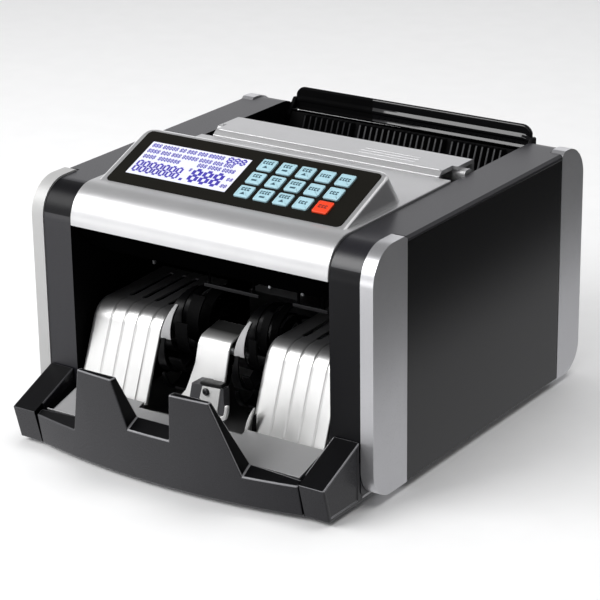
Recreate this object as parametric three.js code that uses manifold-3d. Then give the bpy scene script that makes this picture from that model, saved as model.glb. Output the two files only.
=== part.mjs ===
// Banknote counting machine, in millimetres. X runs across the machine, -Y is the operator's side, +Z is up.
// The origin is on the desk, under the middle of the machine.
import * as THREE from "three";
import { mergeVertices } from "three/addons/utils/BufferGeometryUtils.js";
import Module from "manifold-3d";

const wasm = await Module();
wasm.setup();

// ---------------------------------------------------------------- driving dimensions
const GAP = 0.3; // air between neighbouring pieces
const SIDE_X = 127.8; // outer face of each side
const TRIM_X = 118.8; // inner face of the corner trims and side panels
const CHEEK_X = 97; // inner face of each cheek, so the throat is 194 wide for a 190 note
const WALL = 3; // moulded wall
const FRONT_Y = -99; // front of the cheeks
const BACK_Y = 157.5; // back of the cheeks
const TRIM_BACK_Y = 158.4; // back of the rear corner trims
const PANEL_Y0 = -61.8; // front edge of the side panels
const PANEL_Y1 = 128.8; // back edge of the side panels
const BASE_Z = 5; // underside of the housing
const TOP_Z = 162; // top of the cheeks
const FOOT_R = 9;
const INNER_X = 96.4; // half width of the pieces that fit between the cheeks

const HOOD_X = 96.7;
const HOOD_R = 22; // rolled front edge of the hood
const HOOD_Z = 163.4; // deck of the hood
const HOOD_LIP_Z = 138.7;
const HOOD_T = 2.6;
const DECK_BACK_Y = 40.2;

const PANEL_TILT = 22.09; // degrees, slope of the control console
const PANEL_ORIGIN = [-75, 163.2]; // y, z of the console's front edge
const PANEL_LENGTH = 57;
const CONSOLE_X = 92.8;
const OVERLAY_X = 88;
const OVERLAY_V = [1.6, 53.5];
const LCD_U = [-79.5, -2];
const LCD_V = [11.3, 44.6];
const KEY_SIZE = [10.9, 10.6];
const KEY_FIRST = [11, 41.4]; // centre of the first key, in the console's own plane
const KEY_PITCH = [14.33, 13.3];
const KEY_COLUMNS = 5;
const KEY_ROWS = 3;

const COVER_X = 91.5; // half width of the raised hopper cover
const COVER_Y = [40.5, 77.4];
const COVER_Z = 167;
const COMB_PITCH = 4.65;
const COMB_GROUPS = [
  [-78, 9],
  [-32.55, 15],
  [40.8, 9],
];
const COMB_X = 92.5;

const FLAP_X = 93.8;
const FLAP_Z = [156.6, 171];
const FLAP_Y = [147.4, 151.6];
const FLAP_PIVOT = [142, 150];

const TRAY_X = 99.5;
const TRAY_Z = 3;
const TRAY_BOW_R = 451; // plan radius of the tray's front
const TRAY_FRONT_Y = -144.5;
const TRAY_LEAN = 0.2085;
const TRAY_VALLEY_Z = 24;
const TRAY_MIDDLE_Z = 38.4; // the valley between the two teeth is higher
const TRAY_TOP_SLOPE = 0.39;
const TOOTH_TOP_Z = 72;
const END_X = [99.8, 118.3];

const PLATE_STARTS = { left: -94.4, right: 39.6 }; // the two plates are the same pressing, not mirrored
const PLATE_W = 54.8;
const PLATE_T = 1.6;
const GROOVES = [15.2, 25.5, 35.5, 46.2]; // from a plate's left edge

const WHEEL_X = [15.5, 36.5];
const WHEEL_R = 37.5;
const WHEEL_HUB_R = 9;
const WHEEL_VANES = 10;
const VANE_T = 2;

const IMPELLER_AXIS = [-60, 62];
const COUNT_AXIS = [66, 93];
const KICK_AXIS = [97, 88.5];
const MOTOR_AXIS = [20, 40];
const SHAFT_R = 3;
const SHAFT_CLEARANCE = 0.5;
const COUNT_R = 14;
const KICK_R = 11.5;
const ROLLER_X = [-45, 0, 45];
const ROLLER_W = 20;
const MOTOR_PULLEY_R = 6;
const IMPELLER_PULLEY_R = 15;
const FEED_PULLEY_R = 10;
const STACK_BELT_X = [104, 108];
const FEED_BELT_X = [110, 114];
const BELT_T = 1.4;

const INLET = [-62, 34]; // x, z of the mains inlet on the back
const SWITCH = [-24, 34]; // x, z of the mains switch on the back
const REAR_Y = [152.7, 155.5];

// ---------------------------------------------------------------- finishes
const paint = (colour, roughness, metalness) =>
  new THREE.MeshStandardMaterial({ color: colour, roughness, metalness });
const FINISH = {
  silver: paint(0xb4b4b8, 0.34, 0.55),
  trim: paint(0x9c9ca1, 0.36, 0.5),
  charcoal: paint(0x3c3b40, 0.5, 0),
  black: paint(0x121214, 0.35, 0),
  gloss: paint(0x08080a, 0.12, 0),
  overlay: paint(0x1d1b17, 0.3, 0),
  steel: paint(0xd6d6d4, 0.25, 1),
  sheet: paint(0xa9a9ac, 0.42, 0.8),
  lcd: paint(0xe8e8f6, 0.2, 0),
  key: paint(0x9fc9d6, 0.4, 0),
  redKey: paint(0xe0401a, 0.4, 0),
  rubber: paint(0x1a1a1a, 0.85, 0),
  board: paint(0x1f5a34, 0.5, 0),
  motor: paint(0x8d8f92, 0.4, 0.9),
};

// ---------------------------------------------------------------- solids
function solid(geometry) {
  const bare = geometry.clone();
  bare.deleteAttribute("normal");
  bare.deleteAttribute("uv");
  const merged = mergeVertices(bare, 1e-4);
  const corners = merged.index.array;
  const kept = [];
  for (let i = 0; i < corners.length; i += 3) {
    const [a, b, c] = corners.slice(i, i + 3);
    if (a !== b && b !== c && c !== a) kept.push(a, b, c);
  }
  return new wasm.Manifold(
    new wasm.Mesh({
      numProp: 3,
      vertProperties: merged.attributes.position.array,
      triVerts: new Uint32Array(kept),
    }),
  );
}

function surface(body) {
  const mesh = body.getMesh();
  return new THREE.BufferGeometry()
    .setAttribute("position", new THREE.BufferAttribute(mesh.vertProperties, 3))
    .setIndex(new THREE.BufferAttribute(mesh.triVerts, 1));
}

const join = (...bodies) => bodies.reduce((whole, body) => whole.add(body));
const cut = (body, ...tools) => tools.reduce((rest, tool) => rest.subtract(tool), body);
const common = (body, other) => body.intersect(other);

// Local x, y and z of a section go to these world directions.
const X = new THREE.Vector3(1, 0, 0);
const Y = new THREE.Vector3(0, 1, 0);
const Z = new THREE.Vector3(0, 0, 1);
const PLANES = {
  yz: new THREE.Matrix4().makeBasis(Y, Z, X),
  xz: new THREE.Matrix4().makeBasis(X, Z, Y.clone().negate()),
  xy: new THREE.Matrix4(),
};

// A section given by its corners, pushed from low to high along the third axis.
function prism(plane, corners, low, high, bevel = null) {
  const shape = new THREE.Shape(corners.map(([a, b]) => new THREE.Vector2(a, b)));
  const options = { depth: high - low, bevelEnabled: false, steps: 1 };
  if (bevel) {
    Object.assign(options, {
      depth: high - low - 2 * bevel.size,
      bevelEnabled: true,
      bevelThickness: bevel.size,
      bevelSize: bevel.size,
      bevelOffset: -bevel.size,
      bevelSegments: bevel.segments,
    });
  }
  const geometry = new THREE.ExtrudeGeometry(shape, options);
  const start = plane === "xz" ? -high : low;
  geometry.translate(0, 0, start + (bevel ? bevel.size : 0));
  geometry.applyMatrix4(PLANES[plane]);
  return solid(geometry);
}

function box([x0, x1], [y0, y1], [z0, z1]) {
  const geometry = new THREE.BoxGeometry(x1 - x0, y1 - y0, z1 - z0);
  geometry.translate((x0 + x1) / 2, (y0 + y1) / 2, (z0 + z1) / 2);
  return solid(geometry);
}

function cylinderX([y, z], radius, [x0, x1], segments = 28) {
  const geometry = new THREE.CylinderGeometry(radius, radius, x1 - x0, segments);
  geometry.rotateZ(-Math.PI / 2);
  geometry.translate((x0 + x1) / 2, y, z);
  return solid(geometry);
}

function cylinderZ([x, y], radius, [z0, z1], segments = 28) {
  const geometry = new THREE.CylinderGeometry(radius, radius, z1 - z0, segments);
  geometry.rotateX(Math.PI / 2);
  geometry.translate(x, y, (z0 + z1) / 2);
  return solid(geometry);
}

// A turned piece on an axis along X, from [x, radius] steps.
function turnedX([y, z], steps, segments = 28) {
  const profile = [[steps[0][0], 0], ...steps, [steps.at(-1)[0], 0]];
  const points = profile.map(([x, r]) => new THREE.Vector2(r, x));
  const geometry = new THREE.LatheGeometry(points, segments);
  geometry.rotateZ(-Math.PI / 2);
  geometry.translate(0, y, z);
  return solid(geometry);
}

// Corners [a, b, radius] become a section with rounded corners.
function rounded(corners, segments = 6) {
  const out = [];
  corners.forEach(([a, b, radius = 0], i) => {
    if (!radius) {
      out.push([a, b]);
      return;
    }
    const before = corners[(i + corners.length - 1) % corners.length];
    const after = corners[(i + 1) % corners.length];
    const corner = new THREE.Vector2(a, b);
    const u = new THREE.Vector2(before[0], before[1]).sub(corner).normalize();
    const v = new THREE.Vector2(after[0], after[1]).sub(corner).normalize();
    const half = Math.acos(THREE.MathUtils.clamp(u.dot(v), -1, 1)) / 2;
    const reach = radius / Math.tan(half);
    const middle = u.clone().add(v).normalize().multiplyScalar(radius / Math.sin(half)).add(corner);
    const start = u.multiplyScalar(reach).add(corner).sub(middle);
    const end = v.multiplyScalar(reach).add(corner).sub(middle);
    const from = Math.atan2(start.y, start.x);
    let turn = Math.atan2(end.y, end.x) - from;
    if (turn > Math.PI) turn -= 2 * Math.PI;
    if (turn < -Math.PI) turn += 2 * Math.PI;
    for (let k = 0; k <= segments; k++) {
      const angle = from + (turn * k) / segments;
      out.push([middle.x + radius * Math.cos(angle), middle.y + radius * Math.sin(angle)]);
    }
  });
  return out;
}

// The section of a bent sheet: an open line and its copy, moved sideways to the line's right.
function sheet(line, thickness) {
  const side = line.map((point, i) => {
    const a = line[Math.max(i - 1, 0)];
    const b = line[Math.min(i + 1, line.length - 1)];
    const along = new THREE.Vector2(b[0] - a[0], b[1] - a[1]).normalize();
    return [point[0] + along.y * thickness, point[1] - along.x * thickness];
  });
  return [...line, ...side.reverse()];
}

function arc([a, b], radius, from, to, segments) {
  return Array.from({ length: segments + 1 }, (_, i) => {
    const angle = THREE.MathUtils.degToRad(from + ((to - from) * i) / segments);
    return [a + radius * Math.cos(angle), b + radius * Math.sin(angle)];
  });
}

const machine = new THREE.Group();
function add(name, body, finish) {
  const mesh = new THREE.Mesh(surface(body), FINISH[finish]);
  mesh.name = name;
  machine.add(mesh);
}

// ---------------------------------------------------------------- base and feet
const basePan = join(
  box([-118.4, 118.4], [-97, 152.2], [BASE_Z, BASE_Z + 1.5]),
  box([-96.2, 96.2], [-98.4, -96.8], [BASE_Z, 26]),
  box([-96.2, 96.2], [150.6, 152.2], [BASE_Z + 0.5, 20]),
);
add("base_pan", basePan, "sheet");

const FEET = { front_left: [-98, -78], front_right: [98, -78], rear_left: [-98, 138], rear_right: [98, 138] };
for (const [corner, place] of Object.entries(FEET)) {
  const foot = cut(
    cylinderZ(place, FOOT_R, [0, BASE_Z - 0.1], 24),
    cylinderZ(place, FOOT_R / 3, [-1, 1.5], 12),
  );
  add("foot_" + corner, foot, "rubber");
}

// ---------------------------------------------------------------- cheeks, side panels and corner trims
const CHEEK_BASE_Z = BASE_Z + 1.5 + GAP;
const cheekSection = (inset) =>
  rounded(
    [
      [FRONT_Y + inset, CHEEK_BASE_Z + inset, 4],
      [FRONT_Y + inset, TOP_Z - inset, HOOD_R - inset],
      [BACK_Y - inset, TOP_Z - inset, 21 - inset],
      [BACK_Y - inset, CHEEK_BASE_Z + inset, 18 - inset],
    ],
    8,
  );

const PANEL_TOP_Z = TOP_Z - 3.4;
function cheek() {
  const pan = cut(
    prism("yz", cheekSection(0), CHEEK_X, TRIM_X - GAP),
    prism("yz", cheekSection(WALL), CHEEK_X + WALL, TRIM_X),
  );
  const ledge = prism(
    "xz",
    [
      [TRIM_X - 2, PANEL_TOP_Z + GAP],
      [SIDE_X, PANEL_TOP_Z + GAP],
      [SIDE_X, TOP_Z - 1.6],
      [SIDE_X - 1.6, TOP_Z],
      [TRIM_X - 2, TOP_Z],
    ],
    PANEL_Y0 + GAP,
    PANEL_Y1 - GAP,
  );
  return cut(join(pan, ledge), cylinderX(FLAP_PIVOT, 2, [CHEEK_X - 1, CHEEK_X + 2.2], 20));
}

function sidePanel() {
  const outline = [
    [PANEL_Y0 + GAP, BASE_Z],
    [PANEL_Y0 + GAP, PANEL_TOP_Z],
    [PANEL_Y1 - GAP, PANEL_TOP_Z],
    [PANEL_Y1 - GAP, BASE_Z],
  ];
  const slab = prism("yz", outline, TRIM_X - 1, SIDE_X, { size: 0.6, segments: 1 });
  return cut(
    common(slab, box([TRIM_X, SIDE_X + 1], [-200, 200], [0, 200])),
    box([TRIM_X - 1, SIDE_X - 2.5], [PANEL_Y0 + 3, PANEL_Y1 - 3], [BASE_Z + 2.5, PANEL_TOP_Z - 2.5]),
  );
}

function cornerTrim(corners) {
  const bar = prism("yz", rounded(corners, 8), TRIM_X - 6, SIDE_X, { size: 3.4, segments: 3 });
  return common(bar, box([TRIM_X, SIDE_X + 1], [-200, 200], [0, 200]));
}

const FRONT_TRIM_Y = FRONT_Y - 0.6;
const TRIM_TOP_Z = TOP_Z + 1.1;
const frontTrim = cornerTrim([
  [FRONT_TRIM_Y, BASE_Z - 0.6, 19],
  [FRONT_TRIM_Y, TRIM_TOP_Z, HOOD_R + 0.6],
  [PANEL_Y0, TRIM_TOP_Z, 0],
  [PANEL_Y0, BASE_Z - 0.6, 0],
]);
const rearTrim = cornerTrim([
  [PANEL_Y1, BASE_Z - 0.6, 0],
  [PANEL_Y1, TRIM_TOP_Z, 0],
  [TRIM_BACK_Y, TRIM_TOP_Z, 22],
  [TRIM_BACK_Y, BASE_Z - 0.6, 19],
]);

const mirrored = (body) => {
  const flipped = surface(body);
  flipped.applyMatrix4(new THREE.Matrix4().makeScale(-1, 1, 1));
  const corners = flipped.index.array;
  for (let i = 0; i < corners.length; i += 3) {
    [corners[i + 1], corners[i + 2]] = [corners[i + 2], corners[i + 1]];
  }
  return solid(flipped);
};

// The right cheek carries the belts, so the shafts pass through its inner wall.
const shaftHole = (axis, radius, reach) =>
  cylinderX(axis, radius + SHAFT_CLEARANCE, [CHEEK_X - 1, CHEEK_X + reach], 24);
const plainCheek = cheek();
const rightCheek = cut(
  plainCheek,
  ...[IMPELLER_AXIS, COUNT_AXIS, KICK_AXIS, MOTOR_AXIS].map((axis) => shaftHole(axis, SHAFT_R, WALL + 1)),
);
const leftCheek = cut(
  mirrored(plainCheek),
  ...[IMPELLER_AXIS, COUNT_AXIS, KICK_AXIS].map((axis) => mirrored(shaftHole(axis, SHAFT_R, WALL + 1))),
);
add("cheek_left", leftCheek, "charcoal");
add("cheek_right", rightCheek, "charcoal");
const panel = sidePanel();
add("side_panel_left", mirrored(panel), "black");
add("side_panel_right", panel, "black");
add("front_trim_left", mirrored(frontTrim), "trim");
add("front_trim_right", frontTrim, "trim");
add("rear_trim_left", mirrored(rearTrim), "trim");
add("rear_trim_right", rearTrim, "trim");

// ---------------------------------------------------------------- hood and control console
const tilt = THREE.MathUtils.degToRad(PANEL_TILT);
const consoleFrame = new THREE.Matrix4().makeBasis(
  X,
  new THREE.Vector3(0, Math.cos(tilt), Math.sin(tilt)),
  new THREE.Vector3(0, -Math.sin(tilt), Math.cos(tilt)),
);
consoleFrame.setPosition(0, PANEL_ORIGIN[0], PANEL_ORIGIN[1]);

// A rounded plate in the console's own plane: across, up the slope, and out of it.
function consolePlate([u0, u1], [v0, v1], [n0, n1], radius = 0, segments = 3) {
  const corners = [
    [u0, v0, radius],
    [u1, v0, radius],
    [u1, v1, radius],
    [u0, v1, radius],
  ];
  const shape = new THREE.Shape(rounded(corners, segments).map(([a, b]) => new THREE.Vector2(a, b)));
  const geometry = new THREE.ExtrudeGeometry(shape, { depth: n1 - n0, bevelEnabled: false });
  geometry.translate(0, 0, n0);
  geometry.applyMatrix4(consoleFrame);
  return solid(geometry);
}

const hoodLine = [
  [FRONT_Y - 0.4, HOOD_LIP_Z],
  ...arc([FRONT_Y - 0.4 + HOOD_R, HOOD_Z - HOOD_R], HOOD_R, 180, 90, 10),
  [DECK_BACK_Y, HOOD_Z],
];
const ridge = [
  PANEL_ORIGIN[0] + PANEL_LENGTH * Math.cos(tilt),
  PANEL_ORIGIN[1] + PANEL_LENGTH * Math.sin(tilt),
];
const wedgeSection = rounded(
  [
    [-76, HOOD_Z - 2],
    [-74.6, HOOD_Z],
    [ridge[0], ridge[1], 1.6],
    [-7.5, HOOD_Z],
    [-7.5, HOOD_Z - 2],
  ],
  3,
);
const wedgeHollow = [
  [-64, HOOD_Z - 4],
  [-64, 163.9],
  [-26, 179.2],
  [-12.5, 163],
  [-12.5, HOOD_Z - 4],
];
const hood = cut(
  join(
    prism("yz", sheet(hoodLine, HOOD_T), -HOOD_X, HOOD_X),
    prism("yz", wedgeSection, -CONSOLE_X, CONSOLE_X, { size: 0.8, segments: 1 }),
  ),
  prism("yz", wedgeHollow, -90, 90),
  consolePlate([-OVERLAY_X - GAP, OVERLAY_X + GAP], [OVERLAY_V[0] - GAP, OVERLAY_V[1] + GAP], [-1.6, 6], 3.6),
  consolePlate([-84.5, 84.5], [7.5, 50.5], [-7, 6]),
);
add("hood", hood, "silver");

const keyCentre = (row, column) => [
  KEY_FIRST[0] + column * KEY_PITCH[0],
  KEY_FIRST[1] - row * KEY_PITCH[1],
];
const keyPlate = (row, column, grow, depth, radius) => {
  const [u, v] = keyCentre(row, column);
  const [w, h] = [KEY_SIZE[0] / 2 + grow, KEY_SIZE[1] / 2 + grow];
  return consolePlate([u - w, u + w], [v - h, v + h], depth, radius, 2);
};

let overlay = consolePlate([-OVERLAY_X, OVERLAY_X], OVERLAY_V, [-1.3, 0.3], 3.3);
overlay = cut(overlay, consolePlate(LCD_U, LCD_V, [-3, 2]));
const board = [consolePlate([-83, 83], [12.2, 49.6], [-8.2, -6.8])];
for (let row = 0; row < KEY_ROWS; row++) {
  for (let column = 0; column < KEY_COLUMNS; column++) {
    overlay = cut(overlay, keyPlate(row, column, GAP, [-3, 2], 1.2));
    board.push(keyPlate(row, column, -3.2, [-7, -3.8], 0));
    const last = row === KEY_ROWS - 1 && column === KEY_COLUMNS - 1;
    const key = keyPlate(row, column, 0, [-2.6, 1.4], 1);
    add("key_" + (row + 1) + "_" + (column + 1), key, last ? "redKey" : "key");
  }
}
add("control_overlay", overlay, "overlay");
add("control_board", join(...board), "board");
add(
  "display_module",
  consolePlate([LCD_U[0] + GAP, LCD_U[1] - GAP], [LCD_V[0] + GAP, LCD_V[1] - GAP], [-6.4, 0.1]),
  "lcd",
);

// ---------------------------------------------------------------- hopper
const coverSection = [
  ...rounded(
    [
      [COVER_Y[0], HOOD_Z - HOOD_T],
      [COVER_Y[0], HOOD_Z + 0.6, 0.4],
      [COVER_Y[0] + 4, COVER_Z, 3],
      [COVER_Y[1], COVER_Z, 2.5],
      [COVER_Y[1], 112],
    ],
    3,
  ),
  [COVER_Y[1] - 2.8, 112],
  [COVER_Y[1] - 2.8, COVER_Z - 2.8],
  [COVER_Y[0] + 3, COVER_Z - 2.8],
  [COVER_Y[0] + 3, HOOD_Z - HOOD_T],
];
const coverEar = rounded(
  [
    [57, 158, 0],
    [57, 164.6, 3],
    [66.5, 164.6, 3],
    [66.5, 158, 0],
  ],
  3,
);
const hopperCover = cut(
  join(
    prism("yz", coverSection, -COVER_X, COVER_X),
    prism("yz", coverEar, COVER_X - 4, INNER_X),
    prism("yz", coverEar, -INNER_X, -COVER_X + 4),
  ),
  box([COVER_X - 4, COVER_X + 1], [COVER_Y[0] - 1, 57], [150, 170]),
  box([-COVER_X - 1, -COVER_X + 4], [COVER_Y[0] - 1, 57], [150, 170]),
);
add("hopper_cover", hopperCover, "silver");

const combLine = [
  [141, 155],
  [116.4, 100],
  [83, 96.5],
];
const finSection = [
  [136.2, 154.8],
  [141.6, 154.8],
  [117, 99.4],
  [111.4, 98.8],
];
let comb = prism("yz", sheet(combLine.toReversed(), WALL), -COMB_X, COMB_X);
for (const [first, count] of COMB_GROUPS) {
  for (let i = 0; i < count; i++) {
    const x = first + i * COMB_PITCH;
    comb = join(comb, prism("yz", finSection, x - 0.8, x + 0.8));
  }
}
comb = cut(
  comb,
  ...ROLLER_X.map((x) => box([x - ROLLER_W / 2 - 1.5, x + ROLLER_W / 2 + 1.5], [84.5, 109.5], [90, 104])),
);
add("hopper_comb", comb, "black");

const flapArm = [
  [FLAP_PIVOT[0] - 3, FLAP_PIVOT[1] - 2.5],
  [FLAP_PIVOT[0] + 3, FLAP_PIVOT[1] - 3],
  [FLAP_Y[1], FLAP_Z[0] + 1],
  [FLAP_Y[1], FLAP_Z[0] + 6],
  [FLAP_Y[0], FLAP_Z[0] + 6],
  [FLAP_PIVOT[0] - 3, FLAP_PIVOT[1] + 3],
];
const flapPlate = prism(
  "xz",
  rounded(
    [
      [-FLAP_X, FLAP_Z[0], 3],
      [FLAP_X, FLAP_Z[0], 3],
      [FLAP_X, FLAP_Z[1], 7],
      [-FLAP_X, FLAP_Z[1], 7],
    ],
    5,
  ),
  FLAP_Y[0],
  FLAP_Y[1],
  { size: 1.2, segments: 2 },
);
const ARM_X = [93, 96.2];
const flapSide = join(prism("yz", flapArm, ...ARM_X), cylinderX(FLAP_PIVOT, 1.5, [95, CHEEK_X + 1.8], 20));
add("note_flap", join(flapPlate, flapSide, mirrored(flapSide)), "gloss");

// ---------------------------------------------------------------- rear cover, mains inlet and switch
const rearSection = [
  [144.9, 151.2],
  [144.9, 153.9],
  ...arc([REAR_Y[1] - 8, 145.9], 8, 90, 0, 5),
  [REAR_Y[1], BASE_Z + 2],
  [REAR_Y[0], BASE_Z + 2],
  [REAR_Y[0], 146],
  [147.5, 151.2],
];
const VENTS = 9;
const vents = [];
for (let i = 0; i < VENTS; i++) {
  vents.push(box([20, 76], [150, 160], [50 + i * 7, 52.6 + i * 7]));
}
const inletHole = box([INLET[0] - 13.8, INLET[0] + 13.8], [150, 160], [INLET[1] - 10.3, INLET[1] + 10.3]);
const switchHole = box([SWITCH[0] - 9.8, SWITCH[0] + 9.8], [150, 160], [SWITCH[1] - 6.8, SWITCH[1] + 6.8]);
const rearCover = cut(
  prism("yz", rearSection, -INNER_X, INNER_X),
  box([COMB_X, 100], [140, 160], [146, 160]),
  box([-100, -COMB_X], [140, 160], [146, 160]),
  inletHole,
  switchHole,
  ...vents,
);
add("rear_cover", rearCover, "black");

const [ix, iz] = INLET;
const inletPins = [
  [ix - 7, iz - 1.5],
  [ix, iz + 2.5],
  [ix + 7, iz - 1.5],
].map(([x, z]) => box([x - 1, x + 1], [134, 149.5], [z - 2, z + 2]));
const inlet = join(
  cut(
    join(
      box([ix - 16, ix + 16], [REAR_Y[1] + GAP, REAR_Y[1] + 2.6], [iz - 12.4, iz + 12.4]),
      box([ix - 13.4, ix + 13.4], [132.5, REAR_Y[1] + 1], [iz - 9.9, iz + 9.9]),
    ),
    prism(
      "xz",
      [
        [ix - 11.6, iz - 7.6],
        [ix + 11.6, iz - 7.6],
        [ix + 11.6, iz + 3],
        [ix + 7, iz + 7.6],
        [ix - 7, iz + 7.6],
        [ix - 11.6, iz + 3],
      ],
      136.5,
      160,
    ),
  ),
  ...inletPins,
);
add("mains_inlet", inlet, "black");

const [sx, sz] = SWITCH;
const switchFrame = cut(
  join(
    box([sx - 11.2, sx + 11.2], [REAR_Y[1] + GAP, REAR_Y[1] + 1.8], [sz - 8, sz + 8]),
    box([sx - 9.4, sx + 9.4], [140, REAR_Y[1] + 1], [sz - 6.4, sz + 6.4]),
  ),
  box([sx - 7.4, sx + 7.4], [142, 160], [sz - 5.4, sz + 5.4]),
);
add("switch_frame", switchFrame, "black");

// The rocker turns on an axis along Z, so its two faces sit side by side.
const ROCKER_AXIS_Y = 151.5;
const rockerSection = rounded(
  [
    [-6.6, 0.2, 0],
    [6.6, 0.2, 0],
    [6.9, 4.4, 0.6],
    [0, 3.2, 4],
    [-6.9, 4.4, 0.6],
  ],
  3,
);
const rockerGeometry = new THREE.ExtrudeGeometry(
  new THREE.Shape(rockerSection.map(([a, b]) => new THREE.Vector2(a, b))),
  { depth: 10, bevelEnabled: false },
);
rockerGeometry.translate(0, 0, -5);
rockerGeometry.rotateZ(THREE.MathUtils.degToRad(-7));
rockerGeometry.translate(sx, ROCKER_AXIS_Y, sz);
add("switch_rocker", solid(rockerGeometry), "gloss");

// ---------------------------------------------------------------- front tray
const trayFront = (x, z) =>
  TRAY_FRONT_Y + TRAY_BOW_R - Math.sqrt(TRAY_BOW_R ** 2 - x ** 2) - TRAY_LEAN * (z - TRAY_Z);
const bowXs = Array.from({ length: 17 }, (_, i) => -TRAY_X + (i * 2 * TRAY_X) / 16);

function trayShell() {
  const plan = [...bowXs.map((x) => [x, trayFront(x, TRAY_Z)]), [TRAY_X, -60], [-TRAY_X, -60]];
  const shape = new THREE.Shape(plan.map(([x, y]) => new THREE.Vector2(x, y)));
  const geometry = new THREE.ExtrudeGeometry(shape, { depth: TOOTH_TOP_Z - TRAY_Z, bevelEnabled: false });
  geometry.applyMatrix4(new THREE.Matrix4().makeShear(0, 0, 0, 0, 0, -TRAY_LEAN));
  geometry.translate(0, 0, TRAY_Z);
  return solid(geometry);
}

// A low front wall whose front edge is level at the given height, and whose top rises towards the back.
function trayLowWall(height, xs) {
  const top = xs.map((x) => {
    const run = trayFront(x, height) - TRAY_FRONT_Y;
    return [x, height - TRAY_TOP_SLOPE * run];
  });
  const shape = new THREE.Shape(
    [...top, [xs.at(-1), -40], [xs[0], -40]].map(([x, z]) => new THREE.Vector2(x, z)),
  );
  const geometry = new THREE.ExtrudeGeometry(shape, { depth: 100, bevelEnabled: false });
  geometry.translate(0, 0, -50);
  geometry.applyMatrix4(PLANES.xz);
  geometry.applyMatrix4(new THREE.Matrix4().makeShear(0, 0, 0, TRAY_TOP_SLOPE, 0, 0));
  geometry.translate(0, TRAY_FRONT_Y, 0);
  return solid(geometry);
}

const tooth = [
  [64.6, TRAY_VALLEY_Z - 2],
  [49.2, TOOTH_TOP_Z],
  [21.8, TOOTH_TOP_Z],
  [12.6, TRAY_VALLEY_Z - 2],
  [12.6, TRAY_Z],
  [64.6, TRAY_Z],
];
const trayInside = [
  [-124, TRAY_Z + WALL],
  [-157, 82],
  [-60, 82],
  [-60, TRAY_Z + WALL],
];
const rightTooth = prism("xz", tooth, -175, -90);
const tray = cut(
  common(
    common(
      trayShell(),
      join(
        trayLowWall(TRAY_VALLEY_Z, bowXs),
        trayLowWall(TRAY_MIDDLE_Z, [-18, -9, 0, 9, 18]),
        rightTooth,
        mirrored(rightTooth),
      ),
    ),
    box([-TRAY_X, TRAY_X], [-175, FRONT_Y - 0.6], [TRAY_Z, TOOTH_TOP_Z]),
  ),
  prism("yz", trayInside, -TRAY_X - 1, TRAY_X + 1),
);
add("tray_front", tray, "charcoal");

const endSection = [
  [-132.6, TRAY_Z],
  [-138.8, 25.6],
  [FRONT_Y - 0.9, 42.2],
  [FRONT_Y - 0.9, TRAY_Z],
];
const trayEnd = prism("yz", endSection, ...END_X, { size: 0.5, segments: 1 });
add("tray_end_left", mirrored(trayEnd), "charcoal");
add("tray_end_right", trayEnd, "charcoal");

const floorLine = [
  [-131.2, 26.6],
  [-104.6, 34.1],
  [-104.6, 8.6],
];
const wheelSlot = box([13.4, 39.4], [-110, -100], [5, 40]);
add(
  "tray_floor",
  cut(prism("yz", sheet(floorLine, 1.2), -96.4, 96.4), wheelSlot, mirrored(wheelSlot)),
  "sheet",
);

// ---------------------------------------------------------------- stacker
const plateLine = [
  [-102.4, 31.2],
  [-90.2, 62.5],
  ...arc([-70, 68.6], 16.4, 158, 96, 7),
  [-12, 86.5],
];
const plateFront = plateLine.slice(0, 6);
for (const [side, start] of Object.entries(PLATE_STARTS)) {
  let plate = prism("yz", sheet(plateLine, PLATE_T), start, start + PLATE_W);
  for (const offset of GROOVES) {
    const x = start + offset;
    const skin = plateFront.map(([y, z]) => [y - 1, z + 0.2]);
    plate = cut(
      plate,
      prism("yz", sheet(skin, 1.55), x - 0.6, x + 0.6),
      box([x - 1.2, x + 1.2], [-65, -19], [76, 92]),
    );
  }
  add("stacker_plate_" + side, plate, "steel");
}

const guideLine = [
  [-97.4, 31],
  [-93, 44],
  [-84.6, 73],
  [-80, 78.4],
  [-62, 81.5],
];
const CENTRE_X = [-11, 13];
add("centre_guide", cut(
  prism("yz", sheet(guideLine, PLATE_T), ...CENTRE_X),
  cylinderX(IMPELLER_AXIS, SHAFT_R + 1, [-20, 20]),
), "steel");

const bracket = join(
  box([-4, 14.4], [-104, -102.8], [36.5, 54]),
  box([-4, 12.8], [-104, -91.4], [52.8, 54]),
  box([13.2, 14.4], [-104, -98], [36.5, 54]),
  box([14, 19.4], [-104, -102.8], [36.5, 40.5]),
);
add("sensor_bracket", bracket, "sheet");

// ---------------------------------------------------------------- stacker wheels, rollers and belts
function wheel() {
  const [y0, z0] = IMPELLER_AXIS;
  const steps = 7;
  const sweep = THREE.MathUtils.degToRad(58);
  const point = (start, k, side) => {
    const f = k / steps;
    const r = WHEEL_HUB_R - 1.5 + (WHEEL_R - WHEEL_HUB_R + 1.5) * f;
    const angle = start - sweep * f * f + (side * VANE_T * 0.5) / Math.max(r, WHEEL_HUB_R);
    return [y0 + r * Math.cos(angle), z0 + r * Math.sin(angle)];
  };
  let body = cylinderX(IMPELLER_AXIS, WHEEL_HUB_R, WHEEL_X, 30);
  for (let i = 0; i < WHEEL_VANES; i++) {
    const start = (2 * Math.PI * i) / WHEEL_VANES;
    const one = [];
    const other = [];
    for (let k = 0; k <= steps; k++) {
      one.push(point(start, k, 1));
      other.unshift(point(start, k, -1));
    }
    body = join(body, prism("yz", [...one, ...other], ...WHEEL_X));
  }
  return cut(body, cylinderX(IMPELLER_AXIS, SHAFT_R + GAP, [0, 60], 24));
}
const rightWheel = wheel();
add("stacker_wheel_right", rightWheel, "rubber");
add("stacker_wheel_left", mirrored(rightWheel), "rubber");

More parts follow.
